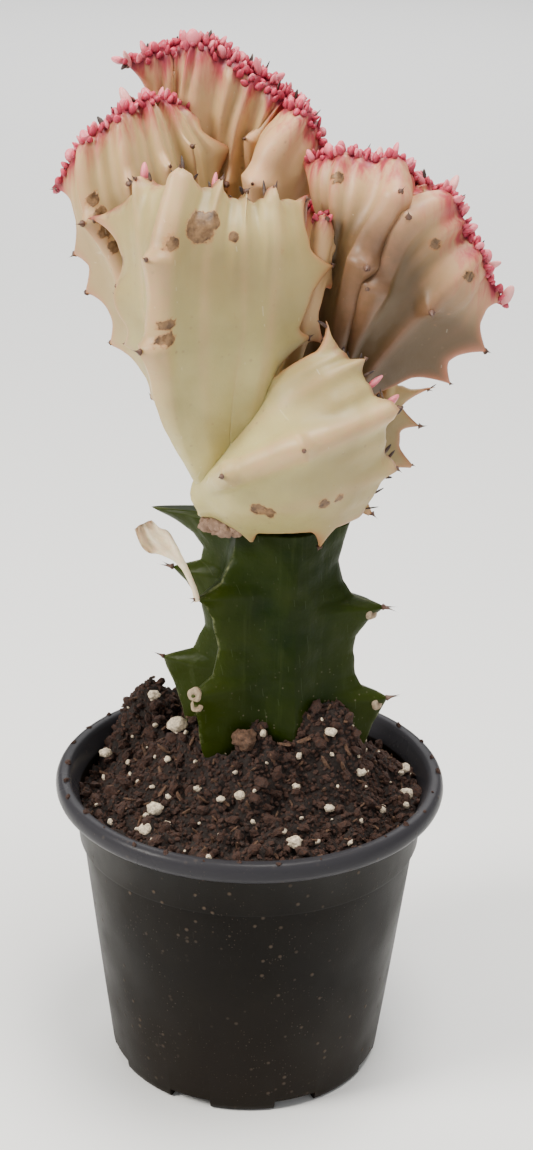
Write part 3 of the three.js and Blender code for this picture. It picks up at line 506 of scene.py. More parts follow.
# %% Turn the pot and cut its drain slots
def make_pot():
    mesh = bpy.data.meshes.new("pot")
    edge_points = [(r * MM, -z * MM, 0) for r, z in PROFILE]
    mesh.from_pydata(edge_points, [(i, i + 1) for i in range(len(PROFILE) - 1)], [])
    cut_edge = bpy.data.objects.new("pot", mesh)
    bpy.context.scene.collection.objects.link(cut_edge)
    tree, given, result = geometry_tree("turn_pot", **{
        "Sides": POT_SIDES, "Slots": SLOTS, "Slot Width": SLOT_WIDTH * MM, "Slot Depth": SLOT_DEPTH * MM,
        "Slot Height": SLOT_HEIGHT * MM, "Foot Radius": FOOT_RADIUS * MM,
    })
    # Spin: the profile line is swept round a circle so tiny that only its turning counts.
    edge = grow(tree, "GeometryNodeMeshToCurve", ("Mesh", given["Geometry"]))
    circle = grow(
        tree, "GeometryNodeCurvePrimitiveCircle", ("Resolution", given["Sides"]), ("Radius", 0.00001)
    )
    swept = grow(
        tree, "GeometryNodeCurveToMesh", ("Curve", circle.outputs[0]), ("Profile Curve", edge.outputs[0])
    )
    joined = grow(
        tree, "GeometryNodeMergeByDistance", ("Geometry", swept.outputs[0]), ("Distance", 0.00003)
    )
    # The sweep leaves the skin inside out, and the cut needs it facing outwards.
    outward = grow(tree, "GeometryNodeFlipFaces", ("Mesh", joined.outputs[0]))
    # The slots: boxes stood round the foot, cut out of the wall and the floor together.
    box = grow(tree, "GeometryNodeMeshCube")
    size = grow(tree, "ShaderNodeCombineXYZ")
    for k, (key, share) in enumerate((("Slot Depth", 2.0), ("Slot Width", 1.0), ("Slot Height", 2.0))):
        tree.links.new(maths(tree, "MULTIPLY", given[key], share), size.inputs[k])
    tree.links.new(size.outputs[0], box.inputs["Size"])
    ring = grow(
        tree, "GeometryNodeCurvePrimitiveCircle", ("Resolution", given["Slots"]),
        ("Radius", given["Foot Radius"]),
    )
    spots = grow(tree, "GeometryNodeCurveToPoints", ("Curve", ring.outputs[0]), mode="EVALUATED")
    place = grow(tree, "GeometryNodeInputPosition")
    facing = grow(tree, "FunctionNodeAlignRotationToVector", ("Vector", place.outputs[0]), axis="X")
    boxes = grow(
        tree, "GeometryNodeInstanceOnPoints", ("Points", spots.outputs[0]), ("Instance", box.outputs[0]),
        ("Rotation", facing.outputs[0]),
    )
    half_step = grow(tree, "ShaderNodeCombineXYZ", (2, math.pi / SLOTS))
    turned = grow(
        tree, "GeometryNodeTransform", ("Geometry", boxes.outputs[0]), ("Rotation", half_step.outputs[0])
    )
    cutters = grow(tree, "GeometryNodeRealizeInstances", ("Geometry", turned.outputs[0]))
    cut = grow(
        tree, "GeometryNodeMeshBoolean", ("Mesh 1", outward.outputs[0]), ("Mesh 2", cutters.outputs[0]),
        operation="DIFFERENCE",
    )
    finish_tree(tree, result, cut.outputs[0], POT_PLASTIC)
    return run_tree(cut_edge, tree)


pot = make_pot()
pot_points = np.array([v.co[:] for v in pot.data.vertices]) / MM
print("pot:", len(pot.data.polygons), "faces", pot_points.min(0).round(1), pot_points.max(0).round(1))
pot.data.set_sharp_from_angle(angle=math.radians(38))


# %% [markdown]
# ## The potting mix
#
# Bark fines, peat and perlite. Seen close, the top is not a surface but a heap of crumbs of every size, so it
# is made twice over: a rough sheet gives the heaps and hollows, and Geometry Nodes drop thousands of crumbs,
# chips and white grains on it. The sheet has the same heaps as the CAD solid; only the fine relief is new.

# %% Mix sizes and heights
STEM_AXIS = np.array([7.5, 0.0])
MIX_EDGE_Z = POT_HEIGHT - 6.0
HEAPS = [
    (-32, 30, 20, 10), (-16, 38, 10, 10), (-20, -4, 5, 8), (23, -12, 19, 9), (33, 2, 5, 11),
    (2, -18, 7, 9), (2, -47, 4.5, 9), (-26, -34, 2.5, 9), (40, 22, -3, 10), (-45, 12, -3, 9),
]


def mix_height(x, y):
    """Height of the mix at a place, in millimetres: a mound round the stem, with heaps on it."""
    from_stem = np.hypot(x - STEM_AXIS[0] * 0.5, y)
    z = MIX_EDGE_Z + 24 * (1 - ease(4, pot_inside(MIX_EDGE_Z), from_stem))
    for hx, hy, height, spread in HEAPS:
        z = z + height * np.exp(-((x - hx) ** 2 + (y - hy) ** 2) / spread**2)
    z = z + 1.3 * np.sin(0.43 * x + 1.3) * np.sin(0.39 * y + 0.4)
    return z + 1.04 * np.sin(0.83 * x - 0.31 * y + 2.1) * np.cos(0.91 * y + 0.27 * x)


# %% Mix materials
def make_mix_material(name, dark, light, rough=0.95):
    material, tree, shader, place = make_material(name, rough)
    cloud = use_group(tree, BLOTCH, ("Vector", place), ("Size", 240.0), ("Roughen", 0.75))
    fine = noise(tree, place, 1400.0, 4.0, 0.7)
    mixed = blend_colour(tree, cloud.outputs["Soft"], dark, light)
    shaded = blend_colour(tree, span(tree, fine, 0.35, 0.75), mixed, tuple(2.0 * c for c in light))
    tree.links.new(shaded, shader.inputs["Base Color"])
    tree.links.new(span(tree, fine, 0.3, 0.7, rough - 0.2, rough), shader.inputs["Roughness"])
    raise_bumps(tree, shader, maths(tree, "ADD", fine, cloud.outputs["Soft"]), 0.6, 0.9)
    return material


MIX_BED = make_mix_material("mix_bed", (0.0025, 0.0008, 0.0004), (0.009, 0.0035, 0.0015))
MIX_CRUMB = make_mix_material("mix_crumb", (0.006, 0.0019, 0.0010), (0.034, 0.0125, 0.0065))
MIX_CHIP = make_mix_material("mix_chip", (0.030, 0.013, 0.006), (0.085, 0.042, 0.022), 0.85)
PERLITE = make_mix_material("perlite_grain", (0.32, 0.25, 0.17), (0.56, 0.47, 0.35), 0.9)


# %% The sheet that the crumbs lie on
def make_mix_bed():
    rings, spokes = 96, 260
    edge = float(pot_inside(RIM_UNDER_Z)) - 0.5
    shares = np.linspace(1, 0.03, rings)
    around = np.linspace(0, 2 * np.pi, spokes, endpoint=False)
    x = np.outer(shares, np.cos(around)) * edge
    y = np.outer(shares, np.sin(around)) * edge
    flat = np.stack([x, y, np.zeros_like(x)], -1).reshape(-1, 3)
    rough = 1.5 * ripple(flat, 9, 3) + 1.0 * ripple(flat, 4, 4) + 0.55 * ripple(flat, 1.9, 5)
    near_wall = ease(0, 0.1, 1 - np.hypot(x, y) / edge)
    z = mix_height(x, y) + rough.reshape(x.shape) * (0.35 + 0.65 * near_wall) - 1.2
    top = np.stack([x, y, z], -1)
    side = []
    for level in (3.0, COLLAR_Z - 1, COLLAR_Z + 1, RIM_UNDER_Z - 5):
        radius = float(pot_inside(level)) - 0.5
        side.append(np.stack([radius * np.cos(around), radius * np.sin(around), np.full(spokes, level)], -1))
    points, faces = tube(np.vstack([np.array(side), top]))
    # Only the top is marked, so that no crumb is dropped on the hidden side wall.
    lie = np.where(np.arange(len(points)) >= len(side) * spokes, 1.0, 0.0)
    lie[-2], lie[-1] = 0, 1
    return make_piece("mix_bed", points, faces, lie=lie)


mix_bed = make_mix_bed()
mix_bed.data.materials.append(MIX_BED)
print("mix bed:", len(mix_bed.data.polygons), "faces")


# %% Crumbs, chips and perlite, dropped by Geometry Nodes
def crumb_tree(name, material, subdivisions, flat=True):
    """Scatters rough lumps over the faces marked "lie", each squashed and turned its own way."""
    tree, given, result = geometry_tree(
        name, **{"Gap": 0.0012, "Smallest": 0.0004, "Largest": 0.001, "Longer": 1.3, "Sink": 0.0, "Seed": 1}
    )
    lie = grow(tree, "GeometryNodeInputNamedAttribute", ("Name", "lie"), data_type="FLOAT")
    wanted = grow(tree, "FunctionNodeCompare", (0, lie.outputs[0]), (1, 0.9), data_type="FLOAT")
    spots = grow(
        tree, "GeometryNodeDistributePointsOnFaces", ("Mesh", given["Geometry"]),
        ("Selection", wanted.outputs[0]), ("Distance Min", given["Gap"]), ("Density Max", 900000.0),
        ("Seed", given["Seed"]), distribute_method="POISSON",
    )
    ball = grow(tree, "GeometryNodeMeshIcoSphere", ("Radius", 1.0), ("Subdivisions", subdivisions))
    where = grow(tree, "GeometryNodeInputPosition")
    bumps = grow(tree, "ShaderNodeTexNoise", ("Vector", where.outputs[0]), ("Scale", 1.3), ("Detail", 1.0))
    push = grow(
        tree, "ShaderNodeVectorMath", (0, bumps.outputs["Color"]), (1, (0.5, 0.5, 0.5)), operation="SUBTRACT"
    )
    push = grow(tree, "ShaderNodeVectorMath", (0, push.outputs[0]), ("Scale", 1.3), operation="SCALE")
    lump = grow(tree, "GeometryNodeSetPosition", ("Geometry", ball.outputs[0]), ("Offset", push.outputs[0]))
    size = random_between(tree, given["Smallest"], given["Largest"], 11)
    sizes = grow(tree, "ShaderNodeCombineXYZ")
    tree.links.new(maths(tree, "MULTIPLY", size, given["Longer"]), sizes.inputs[0])
    tree.links.new(size, sizes.inputs[1])
    tree.links.new(maths(tree, "MULTIPLY", size, 0.75), sizes.inputs[2])
    lumps = grow(
        tree, "GeometryNodeInstanceOnPoints", ("Points", spots.outputs[0]), ("Instance", lump.outputs[0]),
        ("Rotation", random_turn(tree, 1.2, 7)), ("Scale", sizes.outputs[0]),
    )
    down = grow(tree, "ShaderNodeCombineXYZ")
    tree.links.new(given["Sink"], down.inputs[2])
    set_down = grow(
        tree, "GeometryNodeTranslateInstances", ("Instances", lumps.outputs[0]),
        ("Translation", down.outputs[0]), ("Local Space", False),
    )
    finish_tree(tree, result, set_down.outputs[0], material, flat)
    return tree


def scatter(name, tree, over, **sizes):
    piece = bpy.data.objects.new(name, over.data.copy())
    bpy.context.scene.collection.objects.link(piece)
    run_tree(piece, tree, **sizes)
    print(name, len(piece.data.polygons), "faces")
    return piece


mix_crumbs = scatter(
    "mix_crumbs", crumb_tree("drop_crumbs", MIX_CRUMB, 1), mix_bed,
    Gap=0.00112, Smallest=0.0003, Largest=0.00095, Seed=3,
)
mix_clumps = scatter(
    "mix_clumps", crumb_tree("drop_clumps", MIX_CRUMB, 2), mix_bed,
    Gap=0.0048, Smallest=0.0008, Largest=0.0020, Longer=1.25, Sink=0.0003, Seed=8,
)
mix_chips = scatter(
    "mix_chips", crumb_tree("drop_chips", MIX_CHIP, 1), mix_bed,
    Gap=0.006, Smallest=0.0003, Largest=0.0008, Longer=4.0, Sink=0.0006, Seed=5,
)
perlite_fines = scatter(
    "perlite_fines", crumb_tree("drop_perlite", PERLITE, 2, flat=False), mix_bed,
    Gap=0.0088, Smallest=0.00035, Largest=0.0012, Longer=1.1, Sink=0.0007, Seed=12,
)


# %% A few crumbs that fell on the rim
def make_rim_bed():
    """A thin ring that lies on top of the rim, only there to drop crumbs on."""
    spokes = 64
    turn = np.linspace(0, 2 * np.pi, spokes, endpoint=False)
    rings = [
        np.stack([r * np.cos(turn), r * np.sin(turn), np.full(spokes, POT_HEIGHT - drop)], -1)
        for r, drop in ((RIM_RADIUS - 1.4, 0.2), (RIM_RADIUS - 3.6, 0.15))
    ]
    return make_piece("rim_bed", np.vstack(rings), grid_faces(2, spokes), lie=np.ones(2 * spokes))


rim_bed = make_rim_bed()
print("the ring faces up:", rim_bed.data.polygons[0].normal.z > 0)
rim_crumbs = scatter(
    "rim_crumbs", crumb_tree("drop_on_rim", MIX_CRUMB, 1), rim_bed,
    Gap=0.009, Smallest=0.0004, Largest=0.0011, Seed=6,
)
bpy.data.objects.remove(rim_bed)

# %% [markdown]
# ## The rootstock
#
# The green part is another kind of plant, chosen because it roots well. It is a thick stem with four or five
# wings, and each wing climbs in long slopes to a tooth, then steps back. A loft suits it: at every height the
# skin is one closed line round the axis, whose reach follows the nearest wing. The wings are wedges, thick at
# the core and thin at the lip, and a soft maximum joins them to the core without a crease.

# %% Rootstock sizes
STEM_HEIGHT, STEM_BURIED, STEM_CORE, RIB_LIP = 79.5, 38.0, 12.6, 1.1
TOP_LEVEL, LOW_LEVEL = 80, -38  # the levels that the wings are given at, above and below the mix
GRAFT_Z = POT_HEIGHT + STEM_HEIGHT
STEM_RIBS = [  # azimuth, half thickness at the core, outline as (level, reach)
    (-6, 9, [(-38, 11), (-4, 21), (9, 26.2), (17, 29), (22.5, 31.6), (25.7, 33.2), (27.2, 30.6), (29, 25.4),
             (33, 23.2), (40, 22.4), (45, 23.2), (50, 26.0), (53, 29.0), (54.9, 31.0), (56.2, 27.5),
             (57.6, 21.5), (62, 18.4), (68, 17.2), (74, 18), (80, 19.8)]),
    (80, 9, [(-38, 11), (0, 20), (24, 25), (33.5, 31), (36.7, 24), (52, 21), (58, 25), (62, 30), (65, 22),
             (80, 18)]),
    (170, 8, [(-38, 11), (-2, 22), (15, 28.6), (26, 32.0), (33.5, 35.0), (35.2, 31), (36.9, 26), (45, 22.8),
              (52, 23.6), (58, 27.6), (62, 32.6), (63.4, 28), (65, 24), (69, 23.4), (73, 26), (77, 32),
              (80, 38.2)]),
    (219, 8, [(-38, 11), (-2, 22), (15.5, 27.5), (26, 30), (33.5, 32.4), (35, 29), (36.9, 24.8), (45, 22.3),
              (54.5, 24.2), (59, 27), (62, 29.8), (63.4, 25.6), (65, 21.4), (72, 18), (80, 16.5)]),
    (288, 10, [(-38, 11), (-2, 17), (20, 17), (50, 15), (80, 15.5)]),
]
STEM_AZIMUTHS = [rib[0] for rib in STEM_RIBS]


def stem_z(level):
    """The real height of a level: the part above the rim and the buried part stretch by themselves."""
    above, below = level / TOP_LEVEL * STEM_HEIGHT, level / -LOW_LEVEL * STEM_BURIED
    return POT_HEIGHT + np.where(level >= 0, above, below)


def stem_swerve(azimuth, level, reach):
    """The lip wanders by a degree or so, and no wing is a flat blade."""
    return 1.6 * np.sin(level * 0.13 + azimuth // 60) * ease(14, 30, reach)


def stem_reach(azimuth, level, soften=9.0):
    """How far the skin stands from the axis, for arrays of azimuths (degrees) and levels."""
    core = STEM_CORE * (0.8 + 0.2 * ease(LOW_LEVEL, 0, level))
    total = core**soften
    lips = []
    for middle, root, outline in STEM_RIBS:
        away = np.abs((azimuth - middle + 540) % 360 - 180)
        heights, reaches = zip(*outline)
        tip = np.interp(level, heights, reaches)
        taper = (root - RIB_LIP) / np.maximum(tip - core, 0.6)
        side = (root + taper * core) / (np.sin(np.radians(np.minimum(away, 89))) + taper)
        side = np.where(away < 85, side, 0.1)
        reach = (tip**-14.0 + np.maximum(side, 0.1) ** -14.0) ** (-1 / 14.0)
        total = total + reach**soften
        lips.append(np.exp(-((away / 3.2) ** 2)) * ease(1, 6, tip - core))
    return total ** (1 / soften), np.max(lips, axis=0)


def make_rootstock():
    shares = np.sinh(np.linspace(-3.6, 3.6, 47)) / math.sinh(3.6) * 36
    every = np.concatenate([(middle + shares) % 360 for middle in STEM_AZIMUTHS] + [np.arange(0, 360, 2.5)])
    every = np.sort(every)
    azimuths = every[np.concatenate([[True], np.diff(every) > 0.12])]
    levels = np.concatenate([np.linspace(LOW_LEVEL, -2, 8), np.linspace(0, TOP_LEVEL, 150)])
    A, L = np.meshgrid(azimuths, levels)
    reach, lip = stem_reach(A, L)
    angle = np.radians(A + stem_swerve(A, L, reach))
    points = np.stack([STEM_AXIS[0] + reach * np.cos(angle), reach * np.sin(angle), stem_z(L)], -1)
    flat = points.reshape(-1, 3)
    bumps = 0.28 * ripple(flat, 11, 21) + 0.12 * ripple(flat, 4, 22)
    outward = np.stack([np.cos(angle), np.sin(angle), np.zeros_like(angle)], -1).reshape(-1, 3)
    flat = flat + outward * bumps[:, None]
    skin, faces = tube(flat.reshape(points.shape))
    caps = [0, 0]
    wing_share = ease(12, 26, reach).ravel()
    return make_piece(
        "rootstock", skin, faces, lip=np.append(lip.ravel(), caps), out=np.append(wing_share, caps)
    )


def make_stem_skin():
    """Deep green with paler wings, a dry pale line along each lip, and fine scratches."""
    material, tree, shader, place = make_material(
        "stem_skin", 0.42, Subsurface_Weight=0.05, Subsurface_Radius=(0.4, 1.0, 0.15), Subsurface_Scale=0.001,
        Specular_IOR_Level=0.12, IOR=1.42,
    )
    cloud = use_group(tree, BLOTCH, ("Vector", place), ("Size", 75.0), ("Roughen", 0.55))
    green = blend_colour(tree, cloud.outputs["Soft"], (0.0040, 0.0120, 0.0003), (0.0150, 0.0240, 0.0006))
    wing = maths(tree, "MULTIPLY", value_of(tree, "out"), 0.65)
    winged = blend_colour(tree, wing, green, (0.028, 0.040, 0.0020))
    axes = grow(tree, "ShaderNodeSeparateXYZ", ("Vector", place))
    streak_place = grow(tree, "ShaderNodeCombineXYZ")
    for k, scale in enumerate((1.0, 1.0, 0.06)):
        tree.links.new(maths(tree, "MULTIPLY", axes.outputs[k], scale), streak_place.inputs[k])
    streaks = noise(tree, streak_place.outputs[0], 420.0, 3.0, 0.6)
    streaked = blend_colour(tree, span(tree, streaks, 0.56, 0.75, 0.0, 0.5), winged, (0.030, 0.042, 0.008))
    scratch = use_group(tree, SCRATCH, ("Vector", place), ("Size", 260.0), ("Stretch", 0.8), ("Amount", 0.40))
    faint = maths(tree, "MULTIPLY", scratch.outputs[0], 0.22)
    scratched = blend_colour(tree, faint, streaked, (0.11, 0.13, 0.07))
    dry = span(tree, noise(tree, place, 320.0, 3.0, 0.7), 0.45, 0.62)
    edge = maths(tree, "MULTIPLY", span(tree, value_of(tree, "lip"), 0.72, 0.96), dry)
    lipped = blend_colour(tree, maths(tree, "MULTIPLY", edge, 0.6), scratched, (0.16, 0.17, 0.08))
    dust = use_group(tree, DUST, ("Vector", place), ("Size", 900.0), ("Amount", 0.14), ("Gather", 45.0))
    low = span(tree, axes.outputs[2], 0.100, 0.135, 1.0, 0.15)
    specks = maths(tree, "MULTIPLY", dust.outputs[0], low)
    finished = blend_colour(tree, maths(tree, "MULTIPLY", specks, 0.7), lipped, (0.24, 0.19, 0.14))
    tree.links.new(finished, shader.inputs["Base Color"])
    rough = span(tree, noise(tree, place, 120.0, 4.0), 0.3, 0.7, 0.32, 0.52)
    tree.links.new(rough, shader.inputs["Roughness"])
    fine = noise(tree, place, 900.0, 3.0)
    raise_bumps(tree, shader, maths(tree, "ADD", fine, maths(tree, "MULTIPLY", streaks, 0.7)), 0.25, 0.5)
    return material


STEM_SKIN = make_stem_skin()
rootstock = make_rootstock()
rootstock.data.materials.append(STEM_SKIN)
print("rootstock:", len(rootstock.data.polygons), "faces, graft at", GRAFT_Z, "mm")

# %% [markdown]
# ## The crest
#
# In a crested plant the growing tip has spread from a point into a line. The line grows faster than the stem
# can follow, so it folds, and the result is a set of fans on one foot. Each fan here is a sheet hung on its
# ribs: a rib is a curve from the foot to the growing margin, and the sheet between two ribs is a smooth sweep
# from one to the next. Thickness is added on both sides, most at the ribs, which gives the hollow panels
# between sharp ridges. This way the ribs can be placed one by one, as a maker would lay battens, and the
# growing margin, the ridges and the teeth are known at every point for the colours and the spines.

# %% Crest ribs
FACE_TOOTH, EDGE_TOOTH = 3.6, 7.0  # how far a tooth stands out of a fan's face and of its side edge
# name, (thickness at foot, at margin), warmth, bloom, ribs of (ridge, teeth, path from the graft)
FANS = [
    ("left", (4.4, 3), 0.25, 0.85, [
        (0, [0.3, 0.5, 0.68, 0.8, 1], [(-16, 7, 11), (-30, 11, 27), (-44.5, 15, 46), (-53, 14, 66),
            (-57.5, 14, 81), (-60.5, 15, 93.5)]),
        (2.2, [0.6, 0.8], [(-16, 7, 11), (-30, 6, 34), (-43, 7, 67), (-52.5, 8, 88), (-53, 11, 103)]),
        (2.2, [0.83], [(-14, 7, 11), (-26, 7, 35), (-36, 8, 67), (-42, 7, 92), (-45.5, 11, 109.8)]),
        (2.2, [0.83], [(-13, 7, 11), (-22, 8, 35), (-28, 11, 66), (-34, 9, 95), (-39.5, 14, 112.8)]),
        (1.8, [0.87], [(-12, 9, 10), (-17, 11, 34), (-23, 15, 62), (-28, 13, 97), (-35, 16, 112.8)]),
        (0, [0.86, 1], [(-10, 11, 10), (-14, 15, 33), (-17, 20, 67), (-20, 18, 93), (-22, 17, 102),
            (-30, 19, 111)]),
    ]),
    ("crown", (5.5, 3.6), 0.45, 1, [
        (0, [0.8, 1], [(-16, 12, 12), (-27, 20, 43), (-34, 24, 76), (-38.5, 24, 108), (-39, 22, 124)]),
        (1.8, [0.75], [(-14, 12, 12), (-22, 22, 43), (-28, 27, 76), (-31, 27, 107), (-31.5, 24, 125.8)]),
        (2.4, [0.77], [(-12, 12, 12), (-18, 22, 43), (-23, 27, 76), (-25, 24, 107), (-23, 22, 127.8)]),
        (2.6, [0.74], [(-9, 12, 12), (-12, 22, 43), (-16, 26, 76), (-14, 23, 104), (-9, 20, 119.8)]),
        (2, [0.88], [(-6, 12, 12), (-7, 22, 43), (-9, 25, 77), (-6, 22, 100), (0, 18, 114)]),
        (2.8, [0.8], [(-4, 11, 13), (-3, 16, 45), (-5, 12, 77), (-4, 10, 97), (5.5, 14, 110)]),
        (0, [0.9, 1], [(-2, 11, 13), (2, 17, 45), (5, 14, 77), (6, 12, 93), (8.5, 14, 103.5)]),
    ]),
    ("right", (5.8, 3.6), 0.6, 1, [
        (0, [1], [(1, 4, 12), (4, 7, 48), (9, 5, 80), (6, 5, 94), (8, 7, 100.4)]),
        (1.4, [0.7], [(3, 3, 13), (10, 2, 52), (15, -2, 82), (13, -2, 94), (15, 2, 101.8)]),
        (3, [0.73, 0.9], [(4, 3, 13), (14, 0, 50), (21, -7, 81), (26, -5, 93.5), (25, 0, 100)]),
        (1.2, [0.95], [(5, 2, 13), (18, 2, 49), (29, 0, 76), (32.5, 2, 88.5), (35, 4, 95)]),
        (3, [0.68, 0.86], [(7, 2, 13), (19, 1, 48), (25, -6, 70), (33, -6, 86), (42.5, 0, 90.2)]),
        (2.6, [0.8], [(8, 2, 13), (23, 1, 44), (35, -3, 63), (42.5, -6, 70.5), (49.6, 0, 77.4)]),
        (0, [0.62, 0.8, 1], [(10, 2, 13), (22, 3, 34), (33, 3, 40), (48.5, 2, 49), (54.8, 2, 62),
            (56.3, 3, 67.6)]),
    ]),
    ("front", (6, 3.4), 0, 0.3, [
        (0, [0.3, 0.56, 0.8, 1], [(-18, -4, 12), (-27, -7, 30), (-37, -8, 50), (-45.5, -7, 63.5),
            (-42, -7, 70), (-44.5, -6, 78.5), (-47, -4, 86)]),
        (1.2, [1], [(-19, -6, 13), (-26, -12, 36), (-34, -15, 61), (-36, -14, 81), (-36.8, -8, 93.8)]),
        (3, [0.55, 0.78, 1], [(-18, -10, 13), (-27, -21, 37), (-30, -26, 63), (-29, -25, 84),
            (-26, -16, 96)]),
        (1, [1], [(-16, -11, 13), (-21, -21, 37), (-22, -25, 64), (-21, -23, 84), (-19, -14, 94.5)]),
        (0.8, [1], [(-14, -12, 14), (-15, -18, 36), (-12, -20, 63), (-12, -20, 83), (-12, -13, 90.8)]),
        (1, [1], [(-12, -12, 14), (-9, -17, 36), (-5, -18, 63), (-4, -17, 83.5), (-5, -11, 92)]),
        (0, [0.3, 0.52, 0.78, 1], [(-10, -10, 16), (-6, -13, 42), (2, -12, 56), (7, -11, 69),
            (5, -9, 83), (1, -7, 91)]),
    ]),
    ("low_right", (6, 3.2), 0, 0.3, [
        (0, [0.4, 0.62, 1], [(-19, -8, 14.5), (-10, -13, 31), (-2, -16, 46), (6, -16, 52), (13, -14, 55)]),
        (0.8, [1], [(-20, -9.5, 12.5), (-9, -20, 29), (2, -22, 41), (11, -20, 47), (18, -14, 49)]),
        (2.6, [0.36, 0.62, 1], [(-20.5, -10.5, 10), (-11, -25, 22), (3, -30, 31), (15, -26, 35),
            (25, -17, 38)]),
        (0.8, [1], [(-20, -9, 7.5), (-8, -23, 12), (4, -26, 15), (16, -23, 18), (27, -13, 21)]),
        (0, [0.3, 0.75], [(-18, -6.5, 3), (-9, -15, 2.5), (3, -18, 3), (13, -17, 3.5), (22, -11, 5)]),
    ]),
    ("low_back_right", (4.6, 2.8), 0.1, 0.15, [
        (0, [1], [(6, 2, 5), (14, 8, 15), (20, 9, 26), (24, 9, 32), (26, 9, 34)]),
        (1.2, [1], [(7, 0, 5), (16, 6, 13), (23, 6, 24), (28, 6, 32), (30, 8, 37)]),
        (0, [0.3, 0.62, 0.85, 1], [(8, 0, 2), (20, 4, 3), (28, 6, 10), (33, 7, 19), (33, 7, 30),
            (35, 8, 36)]),
    ]),
    ("middle", (3.8, 2.4), 0.6, 0.5, [
        (0, [], [(-6, 0, 23), (-1, -1, 41), (3, -2, 58), (6, -3, 75), (7, -3, 85)]),
        (1, [1], [(-4, -3, 25), (1, -5, 42), (6, -7, 63), (9, -7, 76), (10, -5, 87)]),
        (0, [0.6, 0.85, 1], [(-3, -2, 23), (3, -4, 44), (9, -6, 62), (11, -5, 74), (14, -3, 81)]),
    ]),
    ("rear", (5.2, 3.4), 0.45, 0.9, [
        (0, [0.5, 0.75, 1], [(-12, 8, 10), (-24, 20, 30), (-32, 32, 52), (-35, 38, 74)]),
        (2.4, [0.7], [(-9, 9, 10), (-16, 26, 32), (-20, 38, 58), (-21, 42, 84)]),
        (2.2, [0.6, 0.85], [(-5, 9, 10), (-6, 26, 32), (-6, 37, 58), (-6, 40, 86)]),
        (2.4, [0.75], [(0, 9, 10), (5, 24, 31), (9, 36, 55), (10, 42, 79)]),
        (0, [0.5, 0.75, 1], [(4, 8, 10), (14, 18, 28), (21, 28, 48), (24, 35, 68)]),
    ]),
]

GRAFT = np.array([STEM_AXIS[0] - 0.5, STEM_AXIS[1], GRAFT_Z])


# %% Curves through the ribs
def rib_curve(path, shares):
    """Points at the given shares of the length of a smooth curve through the path (centripetal)."""
    p = np.asarray(path, float)
    p = np.vstack([2 * p[0] - p[1], p, 2 * p[-1] - p[-2]])
    dense = []
    for i in range(1, len(p) - 2):
        p0, p1, p2, p3 = p[i - 1 : i + 3]
        t1 = max(np.linalg.norm(p1 - p0) ** 0.5, 1e-6)
        t2 = t1 + max(np.linalg.norm(p2 - p1) ** 0.5, 1e-6)
        t3 = t2 + max(np.linalg.norm(p3 - p2) ** 0.5, 1e-6)
        t = np.linspace(t1, t2, 24, endpoint=False)[:, None]
        a1 = (t1 - t) / t1 * p0 + t / t1 * p1
        a2 = (t2 - t) / (t2 - t1) * p1 + (t - t1) / (t2 - t1) * p2
        a3 = (t3 - t) / (t3 - t2) * p2 + (t - t2) / (t3 - t2) * p3
        b1 = (t2 - t) / t2 * a1 + t / t2 * a2
        b2 = (t3 - t) / (t3 - t1) * a2 + (t - t1) / (t3 - t1) * a3
        dense.append((t2 - t) / (t2 - t1) * b1 + (t - t1) / (t2 - t1) * b2)
    dense = np.vstack(dense + [p[-2:-1]])
    run = np.concatenate([[0], np.cumsum(np.linalg.norm(np.diff(dense, axis=0), axis=1))])
    spots = np.asarray(shares) * run[-1]
    return np.stack([np.interp(spots, run, dense[:, k]) for k in range(3)], -1), run[-1]


def sweep(ribs, u):
    """A smooth sweep across the ribs: ribs is (rib, level, xyz), and u runs from 0 to the last rib."""
    last = len(ribs) - 1
    padded = np.concatenate([2 * ribs[:1] - ribs[1:2], ribs, 2 * ribs[-1:] - ribs[-2:-1]])
    k = np.minimum(np.floor(u).astype(int), last - 1)
    t = (u - k)[:, None, None]
    p0, p1, p2, p3 = (padded[k + n] for n in range(4))
    smooth = 0.5 * (
        2 * p1 + (p2 - p0) * t + (2 * p0 - 5 * p1 + 4 * p2 - p3) * t**2 + (3 * p1 - p0 - 3 * p2 + p3) * t**3
    )
    return 0.45 * smooth + 0.55 * (p1 + (p2 - p1) * t)  # part straight, so that a rib stays a crease


def tooth_rise(teeth, v, below=0.11, above=0.035):
    """A tooth climbs slowly from below and drops quickly above its tip."""
    rise = np.zeros_like(v)
    for tip in teeth:
        x = v - tip
        run = np.where(x < 0, below, above)
        rise = np.maximum(rise, np.clip(1 - np.abs(x) / run, 0, 1) ** 1.7)
    return rise


# %% One fan
PAINTED_FAN_SHADE = {  # how strongly each fan's lower flesh is painted dark olive as painted shade
    "right": 1.0, "middle": 0.2, "left": 0.25, "front": 0.18, "low_right": 0.2, "low_back_right": 0.4,
}
THINNING = 0.82  # the skin's thickness, as a share of the fan's own, before its ridges are added
TURN_OVER = 0.13  # how near its side edge a fan turns over, as a share of a panel


def name_seed(name):
    """A number of its own for each fan's name."""
    return sum((i + 3) * ord(c) for i, c in enumerate(name))


